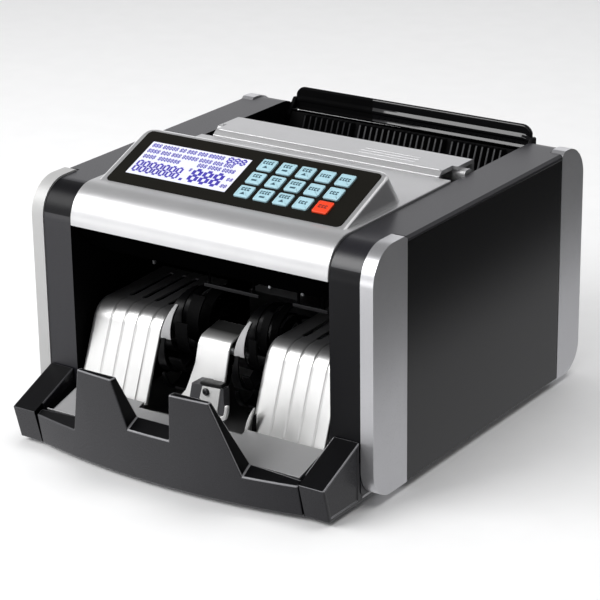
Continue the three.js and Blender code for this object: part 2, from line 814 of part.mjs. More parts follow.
const AXLE_LEFT = -(CHEEK_X + WALL + 1.5);
const pulley = ([x0, x1], radius) => [
  [x0 - 0.8, SHAFT_R],
  [x0 - 0.8, radius + 1.6],
  [x0 - 0.2, radius + 1.6],
  [x0 - 0.2, radius],
  [x1 + 0.2, radius],
  [x1 + 0.2, radius + 1.6],
  [x1 + 0.8, radius + 1.6],
  [x1 + 0.8, SHAFT_R],
];
const axle = (axis, belt, radius, extra = []) =>
  turnedX(axis, [[AXLE_LEFT, SHAFT_R], ...extra, ...pulley(belt, radius), [116, SHAFT_R]], 28);
const rollerSteps = (radius) =>
  ROLLER_X.flatMap((x) => [
    [x - ROLLER_W / 2, SHAFT_R],
    [x - ROLLER_W / 2, radius],
    [x + ROLLER_W / 2, radius],
    [x + ROLLER_W / 2, SHAFT_R],
  ]);
add("stacker_shaft", axle(IMPELLER_AXIS, STACK_BELT_X, IMPELLER_PULLEY_R), "steel");
add("count_roller", axle(COUNT_AXIS, FEED_BELT_X, FEED_PULLEY_R, rollerSteps(COUNT_R)), "rubber");
add("kick_roller", axle(KICK_AXIS, FEED_BELT_X, FEED_PULLEY_R, rollerSteps(KICK_R)), "rubber");
add(
  "motor_pulley",
  turnedX(MOTOR_AXIS, [
    [96.7, SHAFT_R],
    ...pulley(STACK_BELT_X, MOTOR_PULLEY_R).slice(0, -2),
    [FEED_BELT_X[0] - 0.2, MOTOR_PULLEY_R + 1.6],
    [FEED_BELT_X[0] - 0.2, MOTOR_PULLEY_R],
    [FEED_BELT_X[1] + 0.2, MOTOR_PULLEY_R],
    [FEED_BELT_X[1] + 0.2, MOTOR_PULLEY_R + 1.6],
    [FEED_BELT_X[1] + 0.8, MOTOR_PULLEY_R + 1.6],
  ]),
  "steel",
);

// The outline of a belt round its pulleys is the hull of their circles.
function hull(points) {
  const sorted = [...points].sort((p, q) => p[0] - q[0] || p[1] - q[1]);
  const turn = (o, a, b) => (a[0] - o[0]) * (b[1] - o[1]) - (a[1] - o[1]) * (b[0] - o[0]);
  const half = (list) => {
    const line = [];
    for (const p of list) {
      while (line.length > 1 && turn(line.at(-2), line.at(-1), p) <= 1e-9) line.pop();
      line.push(p);
    }
    return line.slice(0, -1);
  };
  return [...half(sorted), ...half(sorted.toReversed())];
}
const belt = (wraps, [x0, x1]) => {
  const loop = (grow) => hull(wraps.flatMap(([axis, r]) => arc(axis, r + grow, 0, 345, 23)));
  return cut(prism("yz", loop(GAP + BELT_T), x0, x1), prism("yz", loop(GAP), x0 - 1, x1 + 1));
};
add(
  "stacker_belt",
  belt(
    [
      [MOTOR_AXIS, MOTOR_PULLEY_R],
      [IMPELLER_AXIS, IMPELLER_PULLEY_R],
    ],
    [STACK_BELT_X[0] + 0.2, STACK_BELT_X[1] - 0.2],
  ),
  "rubber",
);
add(
  "feed_belt",
  belt(
    [
      [MOTOR_AXIS, MOTOR_PULLEY_R],
      [COUNT_AXIS, FEED_PULLEY_R],
      [KICK_AXIS, FEED_PULLEY_R],
    ],
    [FEED_BELT_X[0] + 0.2, FEED_BELT_X[1] - 0.2],
  ),
  "rubber",
);

add(
  "drive_motor",
  turnedX(MOTOR_AXIS, [
    [38, 8],
    [41, 8],
    [41, 18],
    [93, 18],
    [93, 9],
    [96.3, 9],
  ]),
  "motor",
);

// ---------------------------------------------------------------- note path and power supply
add(
  "upper_guide",
  prism(
    "yz",
    sheet(
      [
        [-95.4, 135],
        [-80.5, 120],
        [-30, 114.5],
        [40, 114.5],
        [58, 119],
      ],
      -WALL,
    ),
    -INNER_X,
    INNER_X,
  ),
  "black",
);
add(
  "lower_guide",
  prism(
    "yz",
    sheet(
      [
        [-9.5, 90],
        [30, 98],
        [47, 102],
      ],
      WALL,
    ),
    -INNER_X,
    INNER_X,
  ),
  "black",
);

const supply = join(
  box([-88, -8], [60, 128], [9, 10.6]),
  box([-82, -42], [70, 112], [10.2, 46]),
  cylinderZ([-26, 78], 7, [10.2, 34], 20),
  cylinderZ([-26, 100], 7, [10.2, 34], 20),
);
add("power_supply", supply, "motor");

export default machine;
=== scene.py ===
import math

import bmesh
import bpy
from mathutils import Matrix, Vector

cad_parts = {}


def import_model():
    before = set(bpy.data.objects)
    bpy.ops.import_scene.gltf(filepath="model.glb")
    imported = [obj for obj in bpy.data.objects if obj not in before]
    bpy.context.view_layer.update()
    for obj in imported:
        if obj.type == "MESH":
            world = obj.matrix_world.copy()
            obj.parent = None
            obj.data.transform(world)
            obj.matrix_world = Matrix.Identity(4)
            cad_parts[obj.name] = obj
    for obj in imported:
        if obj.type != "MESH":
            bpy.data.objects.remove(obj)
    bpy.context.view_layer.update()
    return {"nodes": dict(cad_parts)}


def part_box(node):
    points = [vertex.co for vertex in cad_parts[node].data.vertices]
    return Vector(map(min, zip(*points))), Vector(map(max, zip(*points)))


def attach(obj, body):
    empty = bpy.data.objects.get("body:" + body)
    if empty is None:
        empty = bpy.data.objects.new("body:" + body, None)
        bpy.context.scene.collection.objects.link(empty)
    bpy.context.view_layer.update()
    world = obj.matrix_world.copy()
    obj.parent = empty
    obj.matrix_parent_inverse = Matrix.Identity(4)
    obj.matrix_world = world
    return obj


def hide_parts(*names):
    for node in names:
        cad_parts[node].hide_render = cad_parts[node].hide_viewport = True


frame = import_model()

# Sizes below are in millimetres, in the part's own frame, and become metres as each mesh is made.
MM = 0.001


def low_high(node):
    """The lowest and highest corner of a CAD node, in millimetres."""
    low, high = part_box(node)
    return low / MM, high / MM


# -------- materials
def add_node(tree, kind, inputs=(), **settings):
    node = tree.nodes.new("ShaderNode" + kind)
    for name, value in settings.items():
        setattr(node, name, value)
    for name, value in dict(inputs).items():
        if isinstance(value, bpy.types.NodeSocket):
            tree.links.new(value, node.inputs[name])
        else:
            node.inputs[name].default_value = value
    return node


def scaled(colour, factor):
    return tuple(min(1.0, c * factor) for c in colour) + (1.0,)


def remap(tree, value, low, high, source=(0.3, 0.7)):
    """A texture's value, moved from its usual range to low..high."""
    inputs = {"Value": value, "From Min": source[0], "From Max": source[1], "To Min": low, "To Max": high}
    return add_node(tree, "MapRange", inputs).outputs["Result"]


def mix(tree, factor, first, second):
    """Two colours, mixed by a factor."""
    node = add_node(tree, "Mix", data_type="RGBA")
    tree.links.new(factor, node.inputs["Factor"])
    for socket, value in (("A", first), ("B", second)):
        target = next(s for s in node.inputs if s.name == socket and s.type == "RGBA")
        if isinstance(value, bpy.types.NodeSocket):
            tree.links.new(value, target)
        else:
            target.default_value = value
    return next(s for s in node.outputs if s.type == "RGBA")


PAINT = {}


def surface(name, colour, roughness, metallic=0.0, specular=0.5, coat=0.0, mottle=0.08, grain=1500,
            stretch=(1, 1, 1), bump=0.06, spread=0.05, edge_wear_and_highlight=None, pale_edge_width=0.35, light=0.0, shade=None):
    """A moulded, painted or rolled surface, kept in PAINT. Grain is in features per metre; the edge colour
    is a painted highlight along rounded edges, with a little real wear. Shade is (axis, from, to, colour),
    in mm: painted shade along an axis."""
    made = bpy.data.materials.new(name)
    made.use_nodes = True
    tree = made.node_tree
    shader = tree.nodes["Principled BSDF"]
    place = add_node(tree, "TexCoord").outputs["Object"]
    stretching = {"Vector": place, "Scale": stretch}
    stretched = add_node(tree, "Mapping", stretching).outputs["Vector"]
    broad_inputs = {"Vector": place, "Scale": 38.0, "Detail": 5.0}
    broad = add_node(tree, "TexNoise", broad_inputs).outputs["Fac"]
    fine_inputs = {"Vector": stretched, "Scale": float(grain), "Detail": 3.0, "Roughness": 0.6}
    fine = add_node(tree, "TexNoise", fine_inputs).outputs["Fac"]

    dark, pale = scaled(colour, 1 - mottle), scaled(colour, 1 + mottle)
    tint = mix(tree, remap(tree, broad, 0, 1), dark, pale)
    # Painted shade: the colour turns darker along an axis.
    if shade:
        axis, start, end, second = shade
        split = add_node(tree, "SeparateXYZ", {"Vector": place})
        along = remap(tree, split.outputs[axis], 0, 1, (start * MM, end * MM))
        tint = mix(tree, along, tint, (*second, 1.0))
    # Paler edges: mostly a painted highlight along rounded edges, with a little real wear.
    if edge_wear_and_highlight:
        rounded_normal = add_node(tree, "Bevel", {"Radius": pale_edge_width * MM}, samples=4)
        true_normal = add_node(tree, "NewGeometry")
        dot_inputs = {0: rounded_normal.outputs["Normal"], 1: true_normal.outputs["Normal"]}
        dot = add_node(tree, "VectorMath", dot_inputs, operation="DOT_PRODUCT").outputs["Value"]
        edge = remap(tree, dot, 0.75, 0, (0.82, 0.99))
        patchy = {0: edge, 1: remap(tree, fine, 0.35, 1)}
        pale_edges = add_node(tree, "Math", patchy, operation="MULTIPLY")
        tint = mix(tree, pale_edges.outputs["Value"], tint, (*edge_wear_and_highlight, 1.0))
    tree.links.new(tint, shader.inputs["Base Color"])
    patches = remap(tree, fine, roughness - spread, roughness + spread)
    tree.links.new(patches, shader.inputs["Roughness"])
    relief = add_node(tree, "Bump", {"Height": fine, "Strength": bump, "Distance": 0.2 * MM})
    tree.links.new(relief.outputs["Normal"], shader.inputs["Normal"])
    shader.inputs["Metallic"].default_value = metallic
    shader.inputs["Specular IOR Level"].default_value = specular
    shader.inputs["Coat Weight"].default_value = coat
    shader.inputs["Coat Roughness"].default_value = 0.12
    if light:
        shader.inputs["Emission Color"].default_value = (*colour, 1.0)
        shader.inputs["Emission Strength"].default_value = light
    PAINT[name] = made
    return made


# The paler edge colours below are mostly painted highlights on rounded edges, with a little real wear.
surface("silver", (0.6, 0.6, 0.605), 0.37, metallic=0.75, coat=0.05, mottle=0.03, grain=1900, bump=0.05,
        edge_wear_and_highlight=(0.66, 0.66, 0.67), pale_edge_width=0.3)
surface("trim", (0.6, 0.6, 0.615), 0.29, metallic=0.82, coat=0.05, mottle=0.02, grain=2600, bump=0.01,
        spread=0.02, edge_wear_and_highlight=(0.7, 0.7, 0.71), pale_edge_width=0.4)
# A paler, less metallic copy of the trim paint, for the left front corner alone: painted light.
surface("trim_with_painted_light", (0.47, 0.47, 0.465), 0.5, metallic=0.3, specular=0.3, mottle=0.02, grain=2600,
        bump=0.01, spread=0.02, edge_wear_and_highlight=(0.7, 0.7, 0.71), pale_edge_width=0.4)
surface("charcoal", (0.0072, 0.007, 0.0094), 0.3, specular=0.44, edge_wear_and_highlight=(0.42, 0.42, 0.43), pale_edge_width=0.6)
# Tray paints: painted shade on the upper faces, and painted highlights on their edges, dimmer at the left.
surface("tray_top_shade", (0.003, 0.003, 0.0036), 0.4, specular=0.14)
surface("tray_edge_highlight", (0.22, 0.22, 0.23), 0.35, mottle=0.15, grain=900, bump=0.05)
surface("dim_tray_highlight", (0.05, 0.05, 0.054), 0.4, specular=0.3, mottle=0.15, grain=900, bump=0.05)
surface("cheek", (0.0105, 0.0102, 0.0135), 0.32, edge_wear_and_highlight=(0.12, 0.12, 0.13))
# column: a duller black, painted shade on the cheeks' front and roll; also the guide bars' colour.
surface("column", (0.004, 0.004, 0.005), 0.36, specular=0.16, edge_wear_and_highlight=(0.06, 0.06, 0.065))
surface("panel", (0.0022, 0.0022, 0.0026), 0.2, specular=0.4, mottle=0.1, grain=1800, bump=0.03,
        spread=0.03, edge_wear_and_highlight=(0.05, 0.05, 0.055))
# A dull black: the colour of some black parts, and painted shade on faces that lie in shade.
surface("dull_black_and_shade", (0.0018, 0.0018, 0.002), 0.6, specular=0.04, mottle=0.12, grain=1300, bump=0.12,
        edge_wear_and_highlight=(0.02, 0.02, 0.022))
# The deepest black: the colour of some black parts, and painted shade inside the hood and on the back
# cover's lip.
surface("deepest_black_and_shade", (0.0008, 0.0008, 0.0009), 0.9, specular=0.0, mottle=0.2, grain=1300, bump=0.12)
# rim: a paler paint for the painted highlight along the console's rounded edges.
surface("rim", (0.8, 0.8, 0.805), 0.4, metallic=0.35, mottle=0.03, grain=1900, bump=0.03, spread=0.04)
surface("comb", (0.026, 0.026, 0.028), 0.34, specular=0.46, mottle=0.1, edge_wear_and_highlight=(0.12, 0.12, 0.125),
        pale_edge_width=0.4)
# A dimmer copy of the comb paint for the fins at the left: painted shade.
surface("comb_painted_shade", (0.008, 0.008, 0.009), 0.4, specular=0.18, mottle=0.1, edge_wear_and_highlight=(0.03, 0.03, 0.032),
        pale_edge_width=0.4)
surface("gloss", (0.0035, 0.0035, 0.004), 0.09, mottle=0.1, grain=700, bump=0.015, spread=0.02,
        edge_wear_and_highlight=(0.05, 0.05, 0.055))
surface("overlay", (0.0068, 0.0062, 0.0044), 0.42, specular=0.1, grain=3200, bump=0.05)
surface("lcd", (0.68, 0.69, 0.8), 0.25, specular=0.2, mottle=0.02, grain=2400, bump=0.0, light=0.1)
surface("segment", (0.05, 0.035, 0.36), 0.35, specular=0.2, mottle=0.15, grain=3000, bump=0.0)
surface("key", (0.36, 0.56, 0.63), 0.45, specular=0.3, mottle=0.05, grain=2600, edge_wear_and_highlight=(0.6, 0.8, 0.85),
        pale_edge_width=0.9)
surface("legend", (0.02, 0.06, 0.085), 0.5, mottle=0.2, grain=3500)
surface("red_key", (0.8, 0.05, 0.01), 0.45, specular=0.3, mottle=0.05, grain=2600, edge_wear_and_highlight=(0.9, 0.3, 0.16),
        pale_edge_width=0.9)
surface("red_legend", (0.16, 0.012, 0.008), 0.5, mottle=0.2, grain=3500)
surface("steel", (0.86, 0.86, 0.85), 0.2, metallic=1.0, mottle=0.03, grain=160, stretch=(14, 1, 1),
        bump=0.012, edge_wear_and_highlight=(0.95, 0.95, 0.94))
# The plate's and guide's tops turn darker towards the back: painted shade.
surface("plate", (0.72, 0.72, 0.71), 0.36, metallic=0.86, specular=0.3, mottle=0.02, grain=160,
        stretch=(14, 1, 1), bump=0.012, edge_wear_and_highlight=(0.85, 0.85, 0.84), shade=("Y", -87, -68, (0.3, 0.3, 0.31)))
surface("guide", (0.92, 0.92, 0.91), 0.4, metallic=0.6, specular=0.3, mottle=0.02, grain=160,
        stretch=(14, 1, 1), bump=0.012, edge_wear_and_highlight=(0.95, 0.95, 0.94), shade=("Y", -84, -72, (0.05, 0.05, 0.05)))
surface("bracket", (0.88, 0.88, 0.87), 0.4, metallic=0.3, specular=0.4, mottle=0.06, grain=500, bump=0.03,
        edge_wear_and_highlight=(0.95, 0.95, 0.94))
surface("sheet", (0.42, 0.42, 0.425), 0.42, metallic=0.5, mottle=0.05, grain=180, stretch=(1, 12, 12),
        bump=0.03, spread=0.07, edge_wear_and_highlight=(0.8, 0.8, 0.8))
# A pale grey for the painted highlight on one vane of each wheel.
surface("vane_glint_paint", (0.42, 0.42, 0.425), 0.5, specular=0.3, mottle=0.06, bump=0.05, edge_wear_and_highlight=(0.6, 0.6, 0.6))
surface("wheel", (0.0022, 0.0022, 0.0026), 0.34, specular=0.1, mottle=0.15, grain=1600, bump=0.03,
        spread=0.03, edge_wear_and_highlight=(0.03, 0.03, 0.03))
surface("rubber", (0.0065, 0.0065, 0.0065), 0.5, specular=0.3, mottle=0.15, grain=1600, bump=0.15,
        edge_wear_and_highlight=(0.04, 0.04, 0.04))
surface("foot", (0.016, 0.016, 0.016), 0.8, specular=0.3, mottle=0.2, grain=1200, bump=0.25)
surface("casting", (0.075, 0.075, 0.08), 0.6, metallic=0.3, mottle=0.25, grain=700, bump=0.35,
        edge_wear_and_highlight=(0.3, 0.3, 0.31))
surface("board", (0.012, 0.12, 0.045), 0.35, coat=0.3, mottle=0.2, grain=900, bump=0.08)
surface("label", (0.42, 0.42, 0.43), 0.4, metallic=0.4, mottle=0.04, grain=900, bump=0.03)
surface("motor", (0.42, 0.43, 0.44), 0.36, metallic=0.95, grain=220, stretch=(1, 16, 16), bump=0.05)
surface("supply", (0.12, 0.12, 0.125), 0.5, mottle=0.2, grain=800, bump=0.15)
surface("brass", (0.72, 0.52, 0.22), 0.28, metallic=1.0)
surface("screw", (0.66, 0.66, 0.67), 0.3, metallic=1.0, mottle=0.06, grain=1800)
surface("black_screw", (0.02, 0.02, 0.022), 0.35, metallic=0.4, mottle=0.1, grain=1800,
        edge_wear_and_highlight=(0.2, 0.2, 0.21))


# -------- mesh helpers
PLANES = {
    "yz": lambda a, b, c: (c, a, b),
    "xz": lambda a, b, c: (a, c, b),
    "xy": lambda a, b, c: (a, b, c),
}
ALONG_X = (1, 0, 0)


def arc(centre, radius, start, end, steps):
    """Points on an arc, from one angle to another in degrees."""
    angles = [math.radians(start + (end - start) * i / steps) for i in range(steps + 1)]
    return [(centre[0] + radius * math.cos(t), centre[1] + radius * math.sin(t)) for t in angles]


def rounded(corners, steps=8):
    """Corners (a, b, radius) become an outline with round corners."""
    points = []
    for i, (a, b, radius) in enumerate(corners):
        if not radius:
            points.append((a, b))
            continue
        corner = Vector((a, b))
        to_before = (Vector(corners[i - 1][:2]) - corner).normalized()
        to_after = (Vector(corners[(i + 1) % len(corners)][:2]) - corner).normalized()
        half = math.acos(max(-1, min(1, to_before.dot(to_after)))) / 2
        middle = corner + (to_before + to_after).normalized() * radius / math.sin(half)
        reach = radius / math.tan(half)
        first = corner + to_before * reach - middle
        last = corner + to_after * reach - middle
        start = math.degrees(math.atan2(first.y, first.x))
        turn = (math.degrees(math.atan2(last.y, last.x)) - start + 180) % 360 - 180
        points += arc(middle, radius, start, start + turn, steps)
    return points


def rectangle(a0, a1, b0, b1, radius=0, steps=5):
    return rounded([(a0, b0, radius), (a1, b0, radius), (a1, b1, radius), (a0, b1, radius)], steps)


def join_rings(bm, one, two):
    """Faces between two rings of the same number of points."""
    for i in range(len(one)):
        k = (i + 1) % len(one)
        bm.faces.new((one[i], one[k], two[k], two[i]))


def extrude(corners, plane, low, high):
    """A solid with this outline in one plane, from low to high along the third axis."""
    bm = bmesh.new()
    put = PLANES[plane]
    ends = [[bm.verts.new(put(a, b, c)) for a, b in corners] for c in (low, high)]
    bm.faces.new(ends[0])
    bm.faces.new(ends[1])
    join_rings(bm, *ends)
    bmesh.ops.recalc_face_normals(bm, faces=bm.faces)
    return bm


def rights(line):
    """The unit vector to the right of an open line at each of its points."""
    found = []
    for before, after in zip([line[0], *line[:-1]], [*line[1:], line[-1]]):
        along = Vector((after[0] - before[0], after[1] - before[1])).normalized()
        found.append((along.y, -along.x))
    return found


def bent_sheet(line, thickness):
    """The section of a bent sheet: an open line and its copy, moved to the line's right."""
    pairs = zip(line, rights(line))
    side = [(a + right[0] * thickness, b + right[1] * thickness) for (a, b), right in pairs]
    return [*line, *reversed(side)]


def slab_between(front, back):
    """A closed sheet between two grids of points of the same size."""
    bm = bmesh.new()
    rims = []
    for grid in (front, back):
        rows = [[bm.verts.new(point) for point in row] for row in grid]
        for low, high in zip(rows, rows[1:]):
            for i in range(len(low) - 1):
                bm.faces.new((low[i], low[i + 1], high[i + 1], high[i]))
        ends = [row[-1] for row in rows[1:-1]], [row[0] for row in rows[-2:0:-1]]
        rims.append([*rows[0], *ends[0], *reversed(rows[-1]), *ends[1]])
    join_rings(bm, *rims)
    bmesh.ops.recalc_face_normals(bm, faces=bm.faces)
    return bm


def swept_sheet(line, columns, wall, lift=0.0):
    """A sheet along a line of (y, z) points. columns(i) lists (x, depth) across it at point i."""
    sides = rights(line)

    def grid(extra):
        return [
            [(x, y + side[0] * (depth + extra), z + side[1] * (depth + extra)) for x, depth in columns(i)]
            for i, ((y, z), side) in enumerate(zip(line, sides))
        ]

    return slab_between(grid(-lift), grid(wall - lift))


def block(x, y, z):
    return extrude(rectangle(*x, *y), "xy", *z)


def pointing(axis):
    """The turn that brings +X onto an axis."""
    return Vector(ALONG_X).rotation_difference(Vector(axis)).to_matrix().to_4x4()


def turned(profile, centre, axis, steps=40):
    """A solid turned round an axis through centre, from (along, radius) points."""
    bm = bmesh.new()
    rows = []
    for along, radius in profile:
        count = 1 if radius == 0 else steps
        ring = [bm.verts.new((along, radius * math.cos(t), radius * math.sin(t)))
                for t in (2 * math.pi * i / steps for i in range(count))]
        rows.append(ring)
    for one, two in zip(rows, rows[1:]):
        for i in range(steps):
            k = (i + 1) % steps
            corners = [one[i % len(one)], one[k % len(one)], two[k % len(two)], two[i % len(two)]]
            bm.faces.new(list(dict.fromkeys(corners)))
    bmesh.ops.recalc_face_normals(bm, faces=bm.faces)
    return moved(bm, Matrix.Translation(centre) @ pointing(axis))


def rod(low, high, radius):
    """The profile of a plain rod, for turned."""
    return [(low, 0), (low, radius), (high, radius), (high, 0)]


def bevel(bm, width, segments=2, angle=28, chosen=lambda edge: True):
    """Rounds the edges sharper than angle."""
    least = math.radians(angle)
    sharp = [e for e in bm.edges if e.is_manifold and e.calc_face_angle() > least and chosen(e)]
    bmesh.ops.bevel(
        bm, geom=sharp, offset=width, segments=segments, profile=0.5, affect="EDGES", clamp_overlap=True
    )
    return bm


def moved(bm, matrix):
    bmesh.ops.transform(bm, matrix=matrix, verts=bm.verts)
    if matrix.determinant() < 0:
        bmesh.ops.reverse_faces(bm, faces=bm.faces)
    return bm


def mirrored(bm):
    return moved(bm, Matrix.Scale(-1, 4, ALONG_X))


def mesh_of(bm, name="scratch"):
    mesh = bpy.data.meshes.new(name)
    bm.to_mesh(mesh)
    bm.free()
    return mesh


def linked(name, data):
    """A new object in the scene."""
    obj = bpy.data.objects.new(name, data)
    bpy.context.scene.collection.objects.link(obj)
    return obj


def together(*solids):
    """Several separate solids in one mesh."""
    whole = bmesh.new()
    for bm in solids:
        mesh = mesh_of(bm)
        whole.from_mesh(mesh)
        bpy.data.meshes.remove(mesh)
    return whole


def carve(bm, tools, operation="DIFFERENCE"):
    """The solid with the tools cut out of it, or joined to it, one after the other."""
    target, *cutters = [linked("scratch", mesh_of(solid)) for solid in (bm, *tools)]
    for cutter in cutters:
        step = target.modifiers.new("step", "BOOLEAN")
        step.object = cutter
        step.operation = operation
        step.solver = "EXACT"
    bpy.context.view_layer.update()
    result = bmesh.new()
    result.from_mesh(target.evaluated_get(bpy.context.evaluated_depsgraph_get()).data)
    for obj in (target, *cutters):
        mesh = obj.data
        bpy.data.objects.remove(obj)
        bpy.data.meshes.remove(mesh)
    bmesh.ops.dissolve_limit(result, angle_limit=math.radians(0.3), verts=result.verts, edges=result.edges)
    return result


def cad_copy(node):
    """The CAD node's own shape in millimetres, its flat faces whole again."""
    bm = bmesh.new()
    bm.from_mesh(frame["nodes"][node].data)
    bmesh.ops.remove_doubles(bm, verts=bm.verts, dist=1e-6)
    bmesh.ops.dissolve_limit(bm, angle_limit=math.radians(0.4), verts=bm.verts, edges=bm.edges)
    bmesh.ops.scale(bm, vec=(1 / MM,) * 3, verts=bm.verts)
    return bm


def piece(name, bm, paint, replaces=(), body="chassis", smooth=38):
    """Makes a shown piece from a mesh in millimetres, hangs it on its body, hides the CAD nodes it replaces
    and gives it its material slot.
    """
    bmesh.ops.scale(bm, vec=(MM,) * 3, verts=bm.verts)
    bmesh.ops.remove_doubles(bm, verts=bm.verts, dist=1e-7)
    bmesh.ops.recalc_face_normals(bm, faces=bm.faces)
    mesh = mesh_of(bm, name)
    mesh.shade_smooth()
    mesh.set_sharp_from_angle(angle=math.radians(smooth))
    mesh.materials.append(PAINT[paint])
    obj = linked(name, mesh)
    obj.modifiers.new("weighted_normals", "WEIGHTED_NORMAL").keep_sharp = True
    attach(obj, body)
    if replaces:
        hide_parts(*replaces)
    return obj


def refined(node, paint, width, body="chassis"):
    """A CAD node with its edges rounded, as a piece named after it."""
    return piece(node + "_shell", bevel(cad_copy(node), width), paint, (node,), body)


def repaint(obj, paints, choose):
    """Gives some faces another paint: choose names it from a face and its corners, or returns None."""
    for paint in paints:
        obj.data.materials.append(PAINT[paint])
    for face in obj.data.polygons:
        paint = choose(face, [obj.data.vertices[i].co for i in face.vertices])
        face.material_index = 1 + paints.index(paint) if paint else 0


SCREW_DOME = ((0, 0), (0, 1), (0.25, 1), (0.5, 0.8), (0.62, 0.4), (0.64, 0))


def screw(name, centre, axis, radius=2.2, paint="screw"):
    """A pan head screw with a cross recess, its head standing out along axis."""
    head = turned([(along * radius, out * radius) for along, out in SCREW_DOME], (0, 0, 0), ALONG_X, 24)
    thin, long = radius * 0.13, radius * 0.55
    cross = [block((radius * 0.3, radius), (-w, w), (-h, h)) for w, h in ((thin, long), (long, thin))]
    head = moved(carve(head, cross), Matrix.Translation(centre) @ pointing(axis))
    return piece(name, head, paint)


# -------- corner trims and side panels
SIDE_X = low_high("side_panel_right")[1].x
OUTER_FACE = SIDE_X - 0.01
TRIM_X = low_high("front_trim_right")[0].x
THROAT_X = low_high("cheek_right")[0].x + 0.1
PANEL_WALL = 2.5
PANEL_RIM = 3


def corner_trim(side, end):
    """A rolled silver corner: a round outer edge everywhere except along its seam with the side panel."""
    low, high = low_high(f"{end}_trim_right")
    outer, seam, top_round = (low.y, high.y, 22.6) if end == "front" else (high.y, low.y, 22)
    step = math.copysign(3.2, outer - seam)
    corners = [
        (outer, low.z, 19), (outer, high.z, top_round), (seam + step, high.z, 1.5),
        (seam, high.z - 2.2, 0.6), (seam, low.z, 0),
    ]
    if end == "rear":
        corners.reverse()
    bar = extrude(rounded(corners, 14), "yz", TRIM_X, SIDE_X)

    def rolled(edge):
        on_seam = all(abs(v.co.y - seam) < 0.1 for v in edge.verts)
        return all(v.co.x > OUTER_FACE for v in edge.verts) and not on_seam

    bevel(bar, 4.2, 7, 60, rolled)
    bevel(bar, 0.45, 2, 50)
    bmesh.ops.dissolve_degenerate(bar, dist=0.001, edges=bar.edges)
    return bar if side == "right" else mirrored(bar)


def side_panel(side):
    low, high = low_high("side_panel_right")
    slab = extrude(rectangle(low.y, high.y, low.z, high.z), "yz", TRIM_X, SIDE_X)
    bevel(slab, 0.7, 3, 60, lambda edge: all(v.co.x > OUTER_FACE for v in edge.verts))
    inner_y = (low.y + PANEL_RIM, high.y - PANEL_RIM)
    inner_z = (low.z + PANEL_WALL, high.z - PANEL_WALL)
    slab = carve(slab, [block((TRIM_X - 1, SIDE_X - PANEL_WALL), inner_y, inner_z)])
    return slab if side == "right" else mirrored(slab)


def cheek_paint(side):
    """Painted shade: black towards the throat, and a duller black on the right cheek's front and the left
    one's roll.
    """

    def choose(face, corners):
        normal = face.normal
        if abs(face.center.x) < THROAT_X * MM:
            return "dull_black_and_shade"
        if side == "right":
            return "column" if normal.y < -0.9 else None
        return "column" if normal.y < 0 and 0.1 < normal.z < 0.96 else None

    return choose


for side in ("left", "right"):
    for end in ("front", "rear"):
        # The left front corner takes the lit copy of the trim paint: painted light.
        paint = "trim_with_painted_light" if (side, end) == ("left", "front") else "trim"
        node = f"{end}_trim_{side}"
        piece(f"{end}_corner_{side}", corner_trim(side, end), paint, [node])
    piece(f"side_cover_{side}", side_panel(side), "panel", [f"side_panel_{side}"])
    cheek = refined(f"cheek_{side}", "cheek", 0.6)
    repaint(cheek, ("dull_black_and_shade", "column"), cheek_paint(side))


# -------- hood, console and keys
# The console's own frame: u along x, v up its slope, and height out of its face.
TILT = math.radians(22.09)
CONSOLE = Matrix.Translation((0, -75, 163.2)) @ Matrix.Rotation(TILT, 4, "X")
TO_CONSOLE = CONSOLE.inverted()
CONSOLE_NORMAL = CONSOLE.to_3x3() @ Vector((0, 0, 1))
CONSOLE_X = 92.8
CONSOLE_LENGTH = 57
WEDGE_ROUND = 1.7
WEDGE_CORNER = 9
WEDGE_BACK_LEAN = -0.2245
RIM_HIGHLIGHT_WIDTH = 2.5
HOOD_FRONT = low_high("hood")[0].y
HOOD_ROLL = 22
HOOD_WALL = 2.6
DECK_Z = 163.4
KEY_W, KEY_H = 10.9, 10.6
KEY_FIRST = (11, 41.4)
KEY_PITCH = (14.33, 13.3)
KEY_TOP = 1.4
KEY_RAISE = 0.15
LEGEND_WIDTHS = ((1.6, 1.2, 1.6, 1.4), (1.4, 1.8, 1.4), (1.9, 1.5, 1.8), (1.2, 1.6, 1.2, 1.5))
LEGEND_GAP = 0.5
LCD_U = (-79.2, -2.3)
LCD_V = (11.6, 44.3)
LCD_FACE = 0.1
INK = 0.06


def on_console(bm):
    return moved(bm, CONSOLE)


def console_plate(outline, low, high):
    return on_console(extrude(outline, "xy", low, high))


def printed(shapes, height):
    """Flat marks as thick as ink, on the console at a height above its face."""
    return on_console(together(*[extrude(shape, "xy", height, height + INK) for shape in shapes]))


